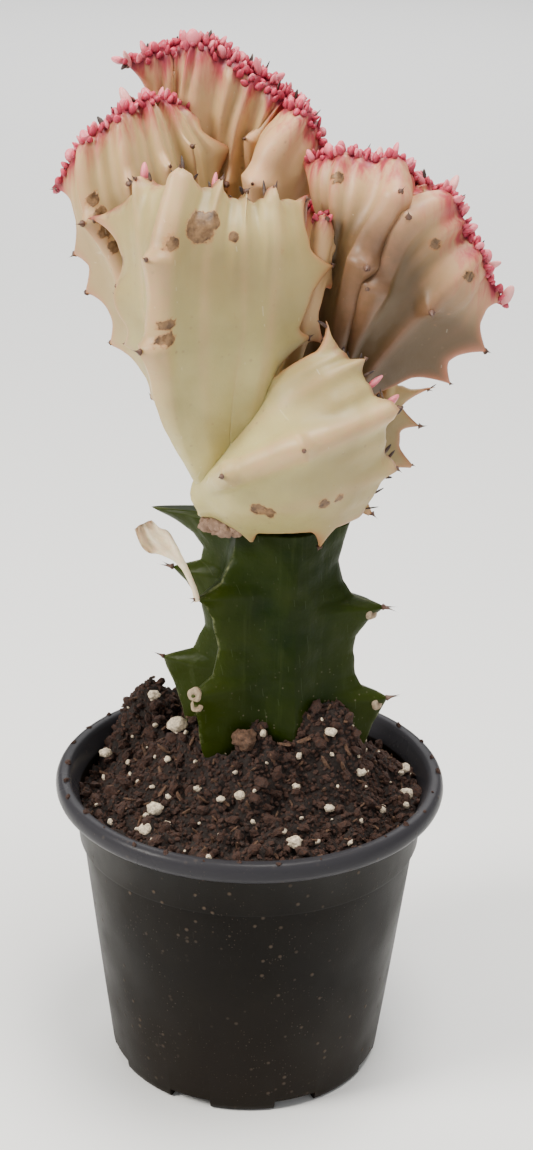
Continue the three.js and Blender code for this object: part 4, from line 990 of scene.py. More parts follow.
def make_fan(fan, per_panel, levels):
    """Returns the fan's points, faces, named values, and the places where its teeth carry spines."""
    name, thick, warmth, bloom, ribs = fan
    last = len(ribs) - 1
    s = np.linspace(0, 1, levels)
    v = 1 - (1 - s) ** 1.25
    # The skin's points crowd together near the two side edges, where it turns over sharply.
    step = np.linspace(0, 1, per_panel + 1)
    u = np.linspace(0, last, last * per_panel + 1)
    u[: per_panel + 1] = step**1.7
    u[-per_panel - 1 :] = last - (step**1.7)[::-1]
    curves = [rib_curve(path, v) for _, _, path in ribs]
    lengths = np.interp(u, range(last + 1), [c[1] for c in curves])
    middle = sweep(np.array([c[0] for c in curves]), u)

    U, V = np.meshgrid(u, v, indexing="ij")
    edge = np.minimum(U, last - U)
    # The growing margin is puckered: small folds swing the sheet to and fro, more and more towards the top.
    across = unit(np.gradient(middle, axis=0))
    along = unit(np.gradient(middle, axis=1))
    normal = unit(np.cross(across, along))
    dice = np.random.default_rng(name_seed(name))
    phase = dice.uniform(0, 6.28)
    pucker = np.sin(2 * np.pi * U + phase) * 0.9 + np.sin(2 * np.pi * U * 2.1 + 1.3 * phase) * 0.7
    wave = 0.1 + 0.9 * bloom**1.5
    middle = middle + normal * (wave * pucker * ease(0.62, 1.0, V) * ease(0, 0.8, edge))[..., None]

    margin_mm = (1 - V) * lengths[:, None]
    half = THINNING * (thick[0] + (thick[1] - thick[0]) * np.minimum(1, V * 1.3))
    ridge_mask = np.zeros_like(U)
    for k, (ridge, teeth, _) in enumerate(ribs):
        x = np.abs(U - k)
        if not ridge:
            continue
        # A ridge grows out of the smooth flesh below its first tooth and runs on up to the margin.
        start = min(teeth[0], 0.9) if teeth else 0.5
        root = 0.25 if ridge > 1.5 else 0.0
        run = 0.35 if ridge > 1.5 or bloom > 0.5 else 0.12
        keel = 0.55 * np.clip(1 - x, 0, 1) ** 2.4 + 0.45 * np.clip(1 - x / 0.3, 0, 1) ** 1.3
        half = half + keel * 1.25 * ridge * (root + 0.9 * ease(start - run, start, V)) * ease(0.04, 0.3, V)
        half = half + FACE_TOOTH * tooth_rise(teeth, V) * np.clip(1 - x / 0.26, 0, 1) ** 1.7
        strong = min(1.0, ridge / 2.4)
        ridge_mask = np.maximum(ridge_mask, strong * np.exp(-((x / 0.13) ** 2)))
    # Young ribs start between the old ones and only show near the top.
    for k in range(last):
        for share, when in ((0.33, 0.66), (0.67, 0.58)) if lengths.mean() > 60 else ((0.5, 0.6),):
            x = np.abs(U - k - share - 0.06 * np.sin(k * 2.1))
            young = np.exp(-((x / 0.09) ** 2)) * ease(when, 1.0, V)
            half = half + 1.1 * wave * young
            ridge_mask = np.maximum(ridge_mask, 0.85 * wave * young)
    # Towards its side edges a fan thins to a wedge, and turns over only at the very edge.
    wedge = 0.42 + 0.58 * np.clip(edge / 1.1, 0, 1) ** 0.8
    half = half * wedge * np.sqrt(1 - (1 - np.clip(edge / TURN_OVER, 0, 1)) ** 2)
    half = half * np.sqrt(np.maximum(0, 1 - np.clip((V - 0.955) / 0.045, 0, 1) ** 2))
    for k, side in ((0, -1), (last, 1)):
        teeth = ribs[k][1]
        near = np.clip(1 - np.abs(U - k) / 0.75, 0, 1) ** 2.2
        middle = middle + across * (side * EDGE_TOOTH * near * tooth_rise(teeth, V, 0.1, 0.06))[..., None]
    # Fans without a fringe end in horns instead, one at the head of each rib.
    for k, (ridge, teeth, _) in enumerate(ribs):
        if 1 in teeth and bloom < 0.5:
            horn = np.exp(-((np.abs(U - k) / 0.17) ** 2)) * ease(0.9, 1.0, V)
            middle = middle + along * (2.4 * horn)[..., None]
            ridge_mask = np.maximum(ridge_mask, horn)
    comb = np.abs(np.sin(np.pi * U * 3.0 + phase)) ** 0.6
    middle = middle + along * (0.8 * comb * ease(0.93, 1.0, V) * ease(0, 0.4, edge))[..., None]

    front = middle + normal * half[..., None]
    back = middle - normal * half[..., None]
    for skin, seed in ((front, 31), (back, 32)):
        flat = skin.reshape(-1, 3)
        swell = 0.35 * ripple(flat, 19, seed) + 0.10 * ripple(flat, 6, seed + 5)
        side = 1 if seed == 31 else -1
        skin += normal * (side * swell.reshape(U.shape) * ease(0, 0.6, edge) * ease(1.0, 0.93, V))[..., None]

    # Rings go up the front and down the back; the edges and the margin are shared points.
    n = len(u)
    ring_points = np.concatenate([front, back[1:-1][::-1]], 0).transpose(1, 0, 2)

    def ring(value):
        return np.concatenate([value, value[1:-1][::-1]], 0).T

    columns = ring_points.shape[1]
    points = ring_points.reshape(-1, 3)
    faces = grid_faces(levels, columns)
    top = (levels - 1) * columns
    foot = len(points)
    points = np.vstack([points, ring_points[0].mean(0)])
    faces += [(foot, (i + 1) % columns, i) for i in range(columns)]
    merged = np.arange(len(points))  # front and back meet in one line along the margin
    for i in range(1, n - 1):
        merged[top + columns - i] = top + i
    clean = []
    for face in faces:
        short = []
        for p in (merged[q] for q in face):
            if p not in short:
                short.append(p)
        if len(short) > 2:
            clean.append(tuple(short))

    values = {
        "margin": ring(bloom * np.exp(-margin_mm / 7.5)), "fringe": ring(bloom * np.exp(-margin_mm / 2.4)),
        "near": ring(np.exp(-margin_mm / 2.0)), "ridge": ring(ridge_mask * ease(0.15, 0.6, V)),
        "rim": ring(np.exp(-((edge / 0.12) ** 2))), "warm": ring(warmth * ease(0.1, 0.55, V)),
        # deep is painted shade: the lower flesh of fans turned from the key light, the right fan most, fading
        # out below the margin.
        "deep": ring(PAINTED_FAN_SHADE.get(name, 0) * ease(0.1, 0.3, V) * (1 - 0.85 * ease(0.78, 0.94, V))),
        # valley is painted shade: the hollow panels between the ridges, away from the growing margin.
        "valley_shade": ring((1 - ridge_mask) * np.clip(1 - half / half.max(), 0, 1) ** 0.7 * ease(0.45, 0.8, V)),
    }
    values = {key: np.append(value.ravel(), value.ravel()[0]) for key, value in values.items()}

    spines = []
    for k, (ridge, teeth, _) in enumerate(ribs):
        i = k * per_panel
        for tip in teeth:
            j = int(np.argmin(np.abs(v - min(tip, 0.985))))
            if k in (0, last):
                way = across[i, j] * (-1 if k == 0 else 1) + 0.35 * along[i, j]
                spines.append((middle[i, j], way))
            elif ridge:
                spines.append((front[i, j], normal[i, j] + 0.3 * along[i, j]))
                spines.append((back[i, j], -normal[i, j] + 0.3 * along[i, j]))
    return points, clean, values, spines


# %% Join the fans on their foot
def make_crest():
    skins, marks, spines = [], [], []
    for fan in FANS:
        big = len(fan[4]) > 4
        points, faces, values, teeth = make_fan(fan, 14 if big else 12, 92 if big else 56)
        skins.append((points + GRAFT, faces))
        marks.append(values)
        spines += [(place + GRAFT, unit(way)) for place, way in teeth]
    # The foot: a swollen, uneven cushion that all the fans rise from.
    rings, around = 22, 56
    tilt = np.linspace(-0.42 * np.pi, 0.5 * np.pi, rings)[:, None]
    turn = np.linspace(0, 2 * np.pi, around, endpoint=False)[None, :]
    upright = np.sin(tilt) * np.ones_like(turn)
    ball = np.stack([np.cos(tilt) * np.cos(turn), np.cos(tilt) * np.sin(turn), upright], -1)
    foot = ball * np.array([20.5, 14.5, 12.0]) + GRAFT + np.array([-0.5, -1.0, 8.0])
    flat = foot.reshape(-1, 3)
    foot = foot + ball * (0.7 * ripple(flat, 14, 41)).reshape(rings, around)[..., None]
    points, faces = tube(foot)
    points[:, 2] = np.maximum(points[:, 2], GRAFT_Z + 0.3)
    skins.append((points, faces))
    marks.append({key: np.zeros(len(points)) for key in marks[0]})
    joined = {key: np.concatenate([values[key] for values in marks]) for key in marks[0]}
    return make_piece("crest", *join_skins(skins), **joined), spines


crest, crest_spines = make_crest()
print("crest:", len(crest.data.polygons), "faces,", len(crest_spines), "spines to plant")

# %% [markdown]
# ## Crest skin
#
# The crest has almost no green in it, so light goes in and comes back warm: the skin is waxy cream, and pink
# to crimson towards the growing margin and along the ridges. Painted shade darkens the hollow panels between
# the ridges to olive-brown, and the lower flesh of the fans turned from the light to dark olive. Subsurface
# light gives the glow, the named values drive the colours, and scabs and scratches break the surface up.


# %% Crest skin material
def make_crest_skin():
    material, tree, shader, place = make_material(
        "crest_skin", 0.48, Subsurface_Weight=0.22, Subsurface_Radius=(1.0, 0.5, 0.2),
        Subsurface_Scale=0.0025, Coat_Weight=0.08, Coat_Roughness=0.4, IOR=1.42,
    )
    cloud = use_group(tree, BLOTCH, ("Vector", place), ("Size", 48.0), ("Roughen", 0.5))
    cream = blend_colour(tree, cloud.outputs["Soft"], (0.37, 0.31, 0.115), (0.56, 0.48, 0.205))
    # Painted shade: the hollow panels between the ridges are darkened to olive-brown.
    valley_shade = maths(tree, "MULTIPLY", value_of(tree, "valley_shade"), 0.6)
    browned = blend_colour(tree, valley_shade, cream, (0.33, 0.22, 0.09))
    warmth = maths(tree, "MULTIPLY", value_of(tree, "warm"), 0.85)
    warm = blend_colour(tree, warmth, browned, (0.72, 0.39, 0.21))
    # Painted shade: deep darkens the lower flesh of the fans turned from the light to dark olive.
    deep = blend_colour(tree, value_of(tree, "deep"), warm, (0.105, 0.063, 0.024))
    fine = noise(tree, place, 420.0, 3.0, 0.6)
    ridge = maths(tree, "MULTIPLY", value_of(tree, "ridge"), span(tree, fine, 0.25, 0.65, 0.55, 1.0))
    # Ridges take less of their pink tint inside that painted shade.
    ridge_tint_outside_shade = span(tree, value_of(tree, "deep"), 0.0, 1.0, 0.55, 0.2)
    ridged = blend_colour(tree, maths(tree, "MULTIPLY", ridge, ridge_tint_outside_shade), deep, (0.62, 0.27, 0.18))
    rim_strength = span(tree, value_of(tree, "warm"), 0.0, 0.5, 0.5, 0.85)
    rim = maths(tree, "MULTIPLY", value_of(tree, "rim"), rim_strength)
    rimmed = blend_colour(tree, rim, ridged, (0.46, 0.15, 0.075))
    # The flush runs down from the margin in streaks, dark crimson at the very top.
    axes = grow(tree, "ShaderNodeSeparateXYZ", ("Vector", place))
    drawn = grow(tree, "ShaderNodeCombineXYZ", (0, axes.outputs[0]), (1, axes.outputs[1]))
    tree.links.new(maths(tree, "MULTIPLY", axes.outputs[2], 0.12), drawn.inputs[2])
    streaks = span(tree, noise(tree, drawn.outputs[0], 330.0, 3.0, 0.6), 0.36, 0.64, 0.45, 1.5)
    uneven = maths(tree, "MULTIPLY", value_of(tree, "margin"), streaks)
    flushed = blend_colour(tree, span(tree, uneven, 0.26, 0.8, 0.0, 0.9), rimmed, (0.46, 0.035, 0.06))
    crimson = maths(tree, "MULTIPLY", value_of(tree, "fringe"), streaks)
    tipped = blend_colour(tree, span(tree, crimson, 0.1, 0.5, 0.0, 0.92), flushed, (0.17, 0.006, 0.022))
    ragged = maths(tree, "MULTIPLY", maths(tree, "SUBTRACT", noise(tree, place, 330.0, 4.0, 0.7), 0.5), 1.6)
    scab = maths(tree, "ADD", value_of(tree, "scar"), ragged)
    halo = blend_colour(tree, span(tree, scab, 0.25, 0.5, 0.0, 0.75), tipped, (0.38, 0.17, 0.06))
    bark = blend_colour(tree, span(tree, fine, 0.35, 0.65), (0.060, 0.028, 0.011), (0.25, 0.14, 0.062))
    scabbed = span(tree, scab, 0.48, 0.6)
    stained = blend_colour(tree, scabbed, halo, bark)
    scratch = use_group(tree, SCRATCH, ("Vector", place), ("Size", 150.0), ("Stretch", 2.0), ("Amount", 0.32))
    faint = maths(tree, "MULTIPLY", scratch.outputs[0], 0.2)
    scratched = blend_colour(tree, faint, stained, (0.80, 0.74, 0.58))
    dust = use_group(tree, DUST, ("Vector", place), ("Size", 520.0), ("Amount", 0.12), ("Gather", 30.0))
    dotted = blend_colour(tree, maths(tree, "MULTIPLY", dust.outputs[0], 0.5), scratched, (0.24, 0.14, 0.08))
    tree.links.new(dotted, shader.inputs["Base Color"])
    tree.links.new(span(tree, fine, 0.3, 0.7, 0.40, 0.56), shader.inputs["Roughness"])
    pores = noise(tree, place, 1500.0, 2.0)
    swell = noise(tree, place, 160.0, 2.0)
    height = maths(tree, "ADD", maths(tree, "MULTIPLY", pores, 0.25), swell)
    crusted = maths(tree, "MULTIPLY", scabbed, maths(tree, "ADD", fine, 0.6))
    raise_bumps(tree, shader, maths(tree, "ADD", height, maths(tree, "MULTIPLY", crusted, 2.0)), 0.3, 0.5)
    return material


CREST_SKIN = make_crest_skin()
crest.data.materials.append(CREST_SKIN)

# %% [markdown]
# ## Scars
#
# Old skin carries brown scabs where it was rubbed or scorched. Each is a place and a size; the points of the
# crest near it are marked, and the material breaks the mark up with a hard-edged noise so no scab is round.

# %% Mark the scars
SCARS = [  # x, y, z, size in millimetres, strength
    (-15.2, -26.1, 260.3, 3.6, 1.0), (-12.5, -25.5, 262.0, 2.4, 1.0), (-6.7, -23.2, 257.6, 1.3, 1.0),
    (-22.3, -31.1, 257.5, 2.0, 1.0), (-22.7, -32.0, 236.6, 1.5, 1.0), (-22.7, -32.0, 232.6, 1.6, 1.0),
    (-45.0, 2.4, 261.0, 1.6, 1.0), (-43.1, 2.5, 257.2, 1.9, 1.0), (-41.5, 2.3, 252.8, 1.7, 1.0),
    (-39.9, 2.5, 248.4, 1.7, 1.0), (-37.0, -6.0, 247.0, 1.5, 0.9), (19.9, -4.7, 269.9, 1.7, 1.0),
    (45.8, -10.2, 254.2, 1.8, 0.9), (55.6, -9.0, 245.1, 1.7, 0.9), (41.0, -6.0, 262.0, 1.4, 0.9),
    (18.6, -26.2, 187.0, 1.7, 0.9), (22.4, -24.8, 188.0, 1.5, 0.9), (0.9, -29.3, 185.2, 2.0, 0.8),
    (4.0, -29.0, 184.2, 1.8, 0.8), (15.8, -11.1, 177.2, 2.0, 0.8),
]


def mark_scars(piece):
    count = len(piece.data.vertices)
    flat = np.empty(count * 3, np.float32)
    piece.data.vertices.foreach_get("co", flat)
    points = flat.reshape(-1, 3) / MM
    mark = np.zeros(count)
    for x, y, z, size, strength in SCARS:
        away = np.linalg.norm((points - (x, y, z)) * (1, 0.5, 1), axis=1)
        mark = np.maximum(mark, strength * ease(size * 1.5, size * 0.6, away))
    attribute = piece.data.attributes.new("scar", "FLOAT", "POINT")
    attribute.data.foreach_set("value", mark.astype(np.float32))
    return int((mark > 0.1).sum())


print("scar points:", mark_scars(crest))

# %% [markdown]
# ## The growing edge: buds, scales and spines
#
# The crimson fringe is hundreds of tiny leaf buds packed along the margin, with a few larger pink scales
# standing out of them. They follow the surface, so Geometry Nodes plant them: points are scattered where the
# crest says it is near its margin, and a bud is set on each, leaning the way the skin faces.

# %% Fringe materials
def make_bud_skin(name, root, tip, rough=0.45):
    material, tree, shader, place = make_material(
        name, rough, Subsurface_Weight=0.3, Subsurface_Radius=(1.0, 0.35, 0.3), Subsurface_Scale=0.0012
    )
    cloud = use_group(tree, BLOTCH, ("Vector", place), ("Size", 320.0), ("Roughen", 0.5))
    shade = blend_colour(tree, value_of(tree, "tip"), root, tip)
    shadow = maths(tree, "MULTIPLY", cloud.outputs["Soft"], 0.55)
    dark = blend_colour(tree, shadow, shade, tuple(0.35 * c for c in root))
    tone = blend_colour(tree, value_of(tree, "tone"), dark, shade)
    tree.links.new(tone, shader.inputs["Base Color"])
    raise_bumps(tree, shader, noise(tree, place, 1800.0, 2.0), 0.15, 0.5)
    return material


BUD_SKIN = make_bud_skin("bud_skin", (0.15, 0.004, 0.018), (0.55, 0.05, 0.10))
SCALE_SKIN = make_bud_skin("scale_skin", (0.38, 0.025, 0.055), (0.82, 0.22, 0.27))
KNOB_SKIN = make_bud_skin("knob_skin", (0.60, 0.12, 0.15), (0.88, 0.42, 0.40))


def make_spine_horn():
    """Brown horn that darkens to the tip, with grey weathered patches."""
    material, tree, shader, place = make_material("spine_horn", 0.55)
    mix = blend_colour(tree, value_of(tree, "tip"), (0.11, 0.052, 0.035), (0.022, 0.011, 0.010))
    patches = span(tree, noise(tree, place, 700.0), 0.5, 0.7, 0.0, 0.5)
    grey = blend_colour(tree, patches, mix, (0.22, 0.15, 0.11))
    tree.links.new(grey, shader.inputs["Base Color"])
    raise_bumps(tree, shader, noise(tree, place, 2600.0, 2.0), 0.1, 0.5)
    return material


SPINE_HORN = make_spine_horn()
print("fringe materials:", BUD_SKIN.name, SCALE_SKIN.name, KNOB_SKIN.name, SPINE_HORN.name)


# %% A tree that plants buds on the margin
def plant_tree(name, material, where, lowest, sides=6, rings=5):
    """Buds on the faces whose named value is above lowest. Each is a stretched, pointed little ball."""
    tree, given, result = geometry_tree(name, **{
        "Gap": 0.001, "Width": 0.0007, "Length": 0.0014, "Flatten": 0.8, "Lean Up": 0.7, "Point": 0.6,
        "Seed": 1,
    })
    mark = grow(tree, "GeometryNodeInputNamedAttribute", ("Name", where), data_type="FLOAT")
    wanted = grow(tree, "FunctionNodeCompare", (0, mark.outputs[0]), (1, lowest), data_type="FLOAT")
    spots = grow(
        tree, "GeometryNodeDistributePointsOnFaces", ("Mesh", given["Geometry"]),
        ("Selection", wanted.outputs[0]), ("Distance Min", given["Gap"]), ("Density Max", 1500000.0),
        ("Seed", given["Seed"]), distribute_method="POISSON",
    )
    up = grow(tree, "ShaderNodeCombineXYZ")
    tree.links.new(given["Lean Up"], up.inputs[2])
    way = grow(
        tree, "ShaderNodeVectorMath", (0, spots.outputs["Normal"]), (1, up.outputs[0]), operation="ADD"
    )
    turn = grow(tree, "FunctionNodeAlignRotationToVector", ("Vector", way.outputs[0]), axis="Z")
    jitter = grow(
        tree, "FunctionNodeRotateRotation", ("Rotation", turn.outputs[0]),
        ("Rotate By", random_turn(tree, 0.4, 5)), rotation_space="LOCAL",
    )
    ball = grow(tree, "GeometryNodeMeshUVSphere", ("Segments", sides), ("Rings", rings), ("Radius", 1.0))
    here = grow(tree, "GeometryNodeInputPosition")
    part = grow(tree, "ShaderNodeSeparateXYZ", ("Vector", here.outputs[0]))
    # Pull the ball to a point: the higher it is, the narrower it gets.
    high = span(tree, part.outputs[2], -0.4, 1.0, 1.0, given["Point"])
    shape = grow(tree, "ShaderNodeCombineXYZ")
    tree.links.new(maths(tree, "MULTIPLY", part.outputs[0], high), shape.inputs[0])
    tree.links.new(maths(tree, "MULTIPLY", part.outputs[1], high), shape.inputs[1])
    tree.links.new(maths(tree, "ADD", part.outputs[2], 0.55), shape.inputs[2])
    bud = grow(tree, "GeometryNodeSetPosition", ("Geometry", ball.outputs[0]), ("Position", shape.outputs[0]))
    tip = span(tree, part.outputs[2], -0.7, 1.0)
    tipped = grow(
        tree, "GeometryNodeStoreNamedAttribute", ("Geometry", bud.outputs[0]), ("Name", "tip"),
        ("Value", tip), data_type="FLOAT", domain="POINT",
    )
    swell = random_between(tree, 0.6, 1.35, 9)
    sizes = grow(tree, "ShaderNodeCombineXYZ")
    width = maths(tree, "MULTIPLY", given["Width"], swell)
    tree.links.new(width, sizes.inputs[0])
    tree.links.new(maths(tree, "MULTIPLY", width, given["Flatten"]), sizes.inputs[1])
    stretch = random_between(tree, 0.6, 1.4, 4)
    tree.links.new(maths(tree, "MULTIPLY", given["Length"], stretch), sizes.inputs[2])
    buds = grow(
        tree, "GeometryNodeInstanceOnPoints", ("Points", spots.outputs[0]), ("Instance", tipped.outputs[0]),
        ("Rotation", jitter.outputs[0]), ("Scale", sizes.outputs[0]),
    )
    toned = grow(
        tree, "GeometryNodeStoreNamedAttribute", ("Geometry", buds.outputs[0]), ("Name", "tone"),
        ("Value", random_between(tree, 0.0, 1.0, 2)), data_type="FLOAT", domain="INSTANCE",
    )
    finish_tree(tree, result, toned.outputs[0], material)
    return tree


margin_buds = scatter(
    "margin_buds", plant_tree("plant_buds", BUD_SKIN, "fringe", 0.30), crest,
    Gap=0.0018, Width=0.0012, Length=0.0014, Flatten=0.75, Seed=4,
)
margin_scales = scatter(
    "margin_scales", plant_tree("plant_scales", SCALE_SKIN, "fringe", 0.45, 6, 6), crest,
    Gap=0.0030, Width=0.0017, Length=0.0019, Flatten=0.5, Point=0.75, Seed=9,
)
margin_knobs = scatter(
    "margin_knobs", plant_tree("plant_knobs", KNOB_SKIN, "fringe", 0.6, 8, 7), crest,
    Gap=0.0075, Width=0.0015, Length=0.0027, Flatten=0.8, Point=0.8, Seed=21,
)
margin_nubs = scatter(
    "margin_nubs", plant_tree("plant_nubs", SCALE_SKIN, "near", 0.75, 8, 7), crest,
    Gap=0.0062, Width=0.0012, Length=0.0024, Flatten=0.8, Point=0.7, Seed=14,
)
margin_scraps = scatter(
    "margin_scraps", plant_tree("plant_scraps", SPINE_HORN, "near", 0.55, 5, 5), crest,
    Gap=0.0040, Width=0.0007, Length=0.0019, Flatten=0.5, Seed=33,
)


# %% Spines on every tooth
def make_spines(name, places, length, thick):
    """A spine at each (place, way) pair: each point carries its way, and the tree stands a horn on it."""
    ways = np.array([way for _, way in places])
    dots = make_piece(name, [place for place, _ in places], [], smooth=False, way=ways)
    tree, given, result = geometry_tree(name + "_tree", Length=length, Thick=thick)
    way = grow(tree, "GeometryNodeInputNamedAttribute", ("Name", "way"), data_type="FLOAT_VECTOR")
    turn = grow(tree, "FunctionNodeAlignRotationToVector", ("Vector", way.outputs[0]), axis="Z")
    jitter = grow(
        tree, "FunctionNodeRotateRotation", ("Rotation", turn.outputs[0]),
        ("Rotate By", random_turn(tree, 0.35, 6)), rotation_space="LOCAL",
    )
    cone = grow(
        tree, "GeometryNodeMeshCone", ("Vertices", 7), ("Side Segments", 5), ("Radius Top", 0.02),
        ("Radius Bottom", 1.0), ("Depth", 1.0),
    )
    here = grow(tree, "GeometryNodeInputPosition")
    part = grow(tree, "ShaderNodeSeparateXYZ", ("Vector", here.outputs[0]))
    height = part.outputs[2]
    # A wide corky foot that narrows at once, and a tip that bends a little.
    waist = maths(tree, "POWER", maths(tree, "SUBTRACT", 1.02, height), 1.8)
    bend = maths(tree, "MULTIPLY", maths(tree, "POWER", height, 2.0), 0.9)
    shape = grow(tree, "ShaderNodeCombineXYZ")
    tree.links.new(maths(tree, "ADD", maths(tree, "MULTIPLY", part.outputs[0], waist), bend), shape.inputs[0])
    tree.links.new(maths(tree, "MULTIPLY", part.outputs[1], waist), shape.inputs[1])
    tree.links.new(maths(tree, "SUBTRACT", height, 0.12), shape.inputs[2])
    horn = grow(
        tree, "GeometryNodeSetPosition", ("Geometry", cone.outputs[0]), ("Position", shape.outputs[0])
    )
    tipped = grow(
        tree, "GeometryNodeStoreNamedAttribute", ("Geometry", horn.outputs[0]), ("Name", "tip"),
        ("Value", span(tree, height, 0.1, 0.6)), data_type="FLOAT", domain="POINT",
    )
    size = random_between(tree, 0.6, 1.25, 3)
    sizes = grow(tree, "ShaderNodeCombineXYZ")
    thickness = maths(tree, "MULTIPLY", given["Thick"], size)
    tree.links.new(thickness, sizes.inputs[0])
    tree.links.new(thickness, sizes.inputs[1])
    tree.links.new(maths(tree, "MULTIPLY", given["Length"], size), sizes.inputs[2])
    horns = grow(
        tree, "GeometryNodeInstanceOnPoints", ("Points", given["Geometry"]), ("Instance", tipped.outputs[0]),
        ("Rotation", jitter.outputs[0]), ("Scale", sizes.outputs[0]),
    )
    finish_tree(tree, result, horns.outputs[0], SPINE_HORN)
    run_tree(dots, tree)
    print(name, len(places), "spines,", len(dots.data.polygons), "faces")
    return dots


SPINE_THICK = 0.8 * MM
crest_horns = make_spines("crest_spines", crest_spines, 2.6 * MM, SPINE_THICK)


def stem_tooth(azimuth, level):
    """A place on the rootstock's skin, and the way it faces."""
    reach, _ = stem_reach(np.array([float(azimuth)]), np.array([float(level)]))
    a = math.radians(azimuth + float(stem_swerve(azimuth, level, reach)[0]))
    way = np.array([math.cos(a), math.sin(a), 0.15])
    z = float(stem_z(np.array(level)))
    return np.array([STEM_AXIS[0] + reach[0] * math.cos(a), reach[0] * math.sin(a), z]), way


# Each tooth is an azimuth and a level, and bears a pair of spines.
STEM_TEETH = [(354, 54.7), (354, 25.6), (80, 62), (80, 33.5), (170, 62), (170, 33.5), (219, 62)]
stem_pairs = [stem_tooth(azimuth, level) for azimuth, level in STEM_TEETH for _ in range(2)]
stem_horns = make_spines("stem_spines", stem_pairs, 4.6 * MM, SPINE_THICK)

# %% [markdown]
# ## Cork, callus and the withered leaf
#
# Where a leaf has dropped, the wing keeps a round cream scar with a dark middle. Under the crest the wound of
# the graft has healed to a rough brown lump, and one leaf has dried where it grew and curled like paper. They
# are small, but the eye goes to them, so each is a modelled piece.

# %% Cork and callus
def make_cork(name, pale, dark, size=420.0):
    material, tree, shader, place = make_material(name, 0.9)
    cloud = use_group(tree, BLOTCH, ("Vector", place), ("Size", size), ("Roughen", 0.8))
    base = blend_colour(tree, cloud.outputs["Soft"], pale, dark)
    hollow = blend_colour(tree, value_of(tree, "hollow"), base, tuple(0.4 * c for c in dark))
    tree.links.new(hollow, shader.inputs["Base Color"])
    raise_bumps(tree, shader, cloud.outputs["Soft"], 0.5, 1.0)
    return material


CORK = make_cork("cork", (0.62, 0.50, 0.34), (0.30, 0.19, 0.11))
CALLUS = make_cork("callus_bark", (0.36, 0.23, 0.16), (0.15, 0.085, 0.05), 300.0)


def make_scars():
    """Low round cups, each a little uneven, set into the wings just under their teeth."""
    profile = [(1.0, -1.2), (1.12, 0.0), (1.02, 0.5), (0.8, 0.8), (0.5, 0.75), (0.24, 0.65)]
    sides = 22
    turn = np.linspace(0, 2 * np.pi, sides, endpoint=False)
    skins, hollow = [], []
    for azimuth, level, radius in ((219, 33.6, 1.9), (219, 29.6, 1.7), (351, 53.4, 1.8), (351, 24.4, 1.8)):
        place, way = stem_tooth(azimuth, level)
        face = unit(np.array([way[0] + 0.1, way[1] - 0.95, 0.25]))
        place = place - way * 0.9
        side = unit(np.cross(face, (0, 0, 1)))
        up = np.cross(side, face)
        rows = []
        for share, lift in profile:
            wobble = 1 + 0.06 * np.sin(3 * turn + level) + 0.04 * np.sin(5 * turn)
            ring = place + np.outer(np.cos(turn) * wobble * radius * share, side)
            ring = ring + np.outer(np.sin(turn) * wobble * radius * share, up) + face * lift
            rows.append(ring)
        skin, quads = tube(rows)
        skins.append((skin, [quad[::-1] for quad in quads]))
        hollow.append(np.append(np.repeat([0, 0, 0.1, 0, 0.3, 0.6], sides), [0, 1]))
    return make_piece("leaf_scars", *join_skins(skins), hollow=np.concatenate(hollow))


leaf_scars = make_scars()
leaf_scars.data.materials.append(CORK)


def make_lump(middle, size, seed, rough, rings=26):
    """A rough ball: latitude rings pushed about by two sizes of bump."""
    tilt = np.linspace(-0.49 * np.pi, 0.49 * np.pi, rings)[:, None]
    turn = np.linspace(0, 2 * np.pi, 2 * rings, endpoint=False)[None, :]
    ball = np.stack([np.cos(tilt) * np.cos(turn), np.cos(tilt) * np.sin(turn), np.sin(tilt) + 0 * turn], -1)
    flat = ball.reshape(-1, 3)
    push = 1 + rough * ripple(flat, 1.1, seed) + 0.5 * rough * ripple(flat, 0.45, seed + 1)
    return tube(ball * push.reshape(ball.shape[:2])[..., None] * np.array(size) + np.array(middle))


def make_callus():
    lumps = [
        ((-8.6, -13.3, 174.6), (4.4, 3.0, 2.6), 2), ((-12.3, -11.6, 174.4), (2.8, 2.4, 2.3), 5),
        ((-5.2, -14.2, 174.2), (2.4, 2.0, 1.9), 8),
    ]
    skins = [make_lump(middle, size, seed, 0.2) for middle, size, seed in lumps]
    return make_piece("graft_callus", *join_skins(skins))


callus = make_callus()
callus.data.materials.append(CALLUS)
clod_x, clod_y = -1.5, -18.5
clod_middle = (clod_x, clod_y, float(mix_height(clod_x, clod_y)) + 1.2)
clod = make_piece("clod", *make_lump(clod_middle, (3.7, 3.4, 3.2), 15, 0.2))
clod.data.materials.append(MIX_CHIP)
print("scars, callus and clod made")


# %% The withered leaf
LEAF = [  # offset from the tooth, width, thickness, all in millimetres
    (0.2, 0, -0.6, 1.8, 1.5), (-0.4, 0.1, 2.4, 1.5, 1.2), (-1.6, 0.4, 5.4, 1.6, 1.0),
    (-3.4, 1.2, 8.9, 1.9, 0.9), (-6.4, 2.2, 12.6, 2.8, 0.7), (-9.4, 3.0, 15.0, 5.2, 0.55),
    (-12.0, 3.5, 16.6, 7.8, 0.5), (-14.2, 3.9, 18.4, 7.4, 0.45), (-15.2, 4.2, 20.2, 5.2, 0.4),
]
LEAF_TOOTH = (219, 62)


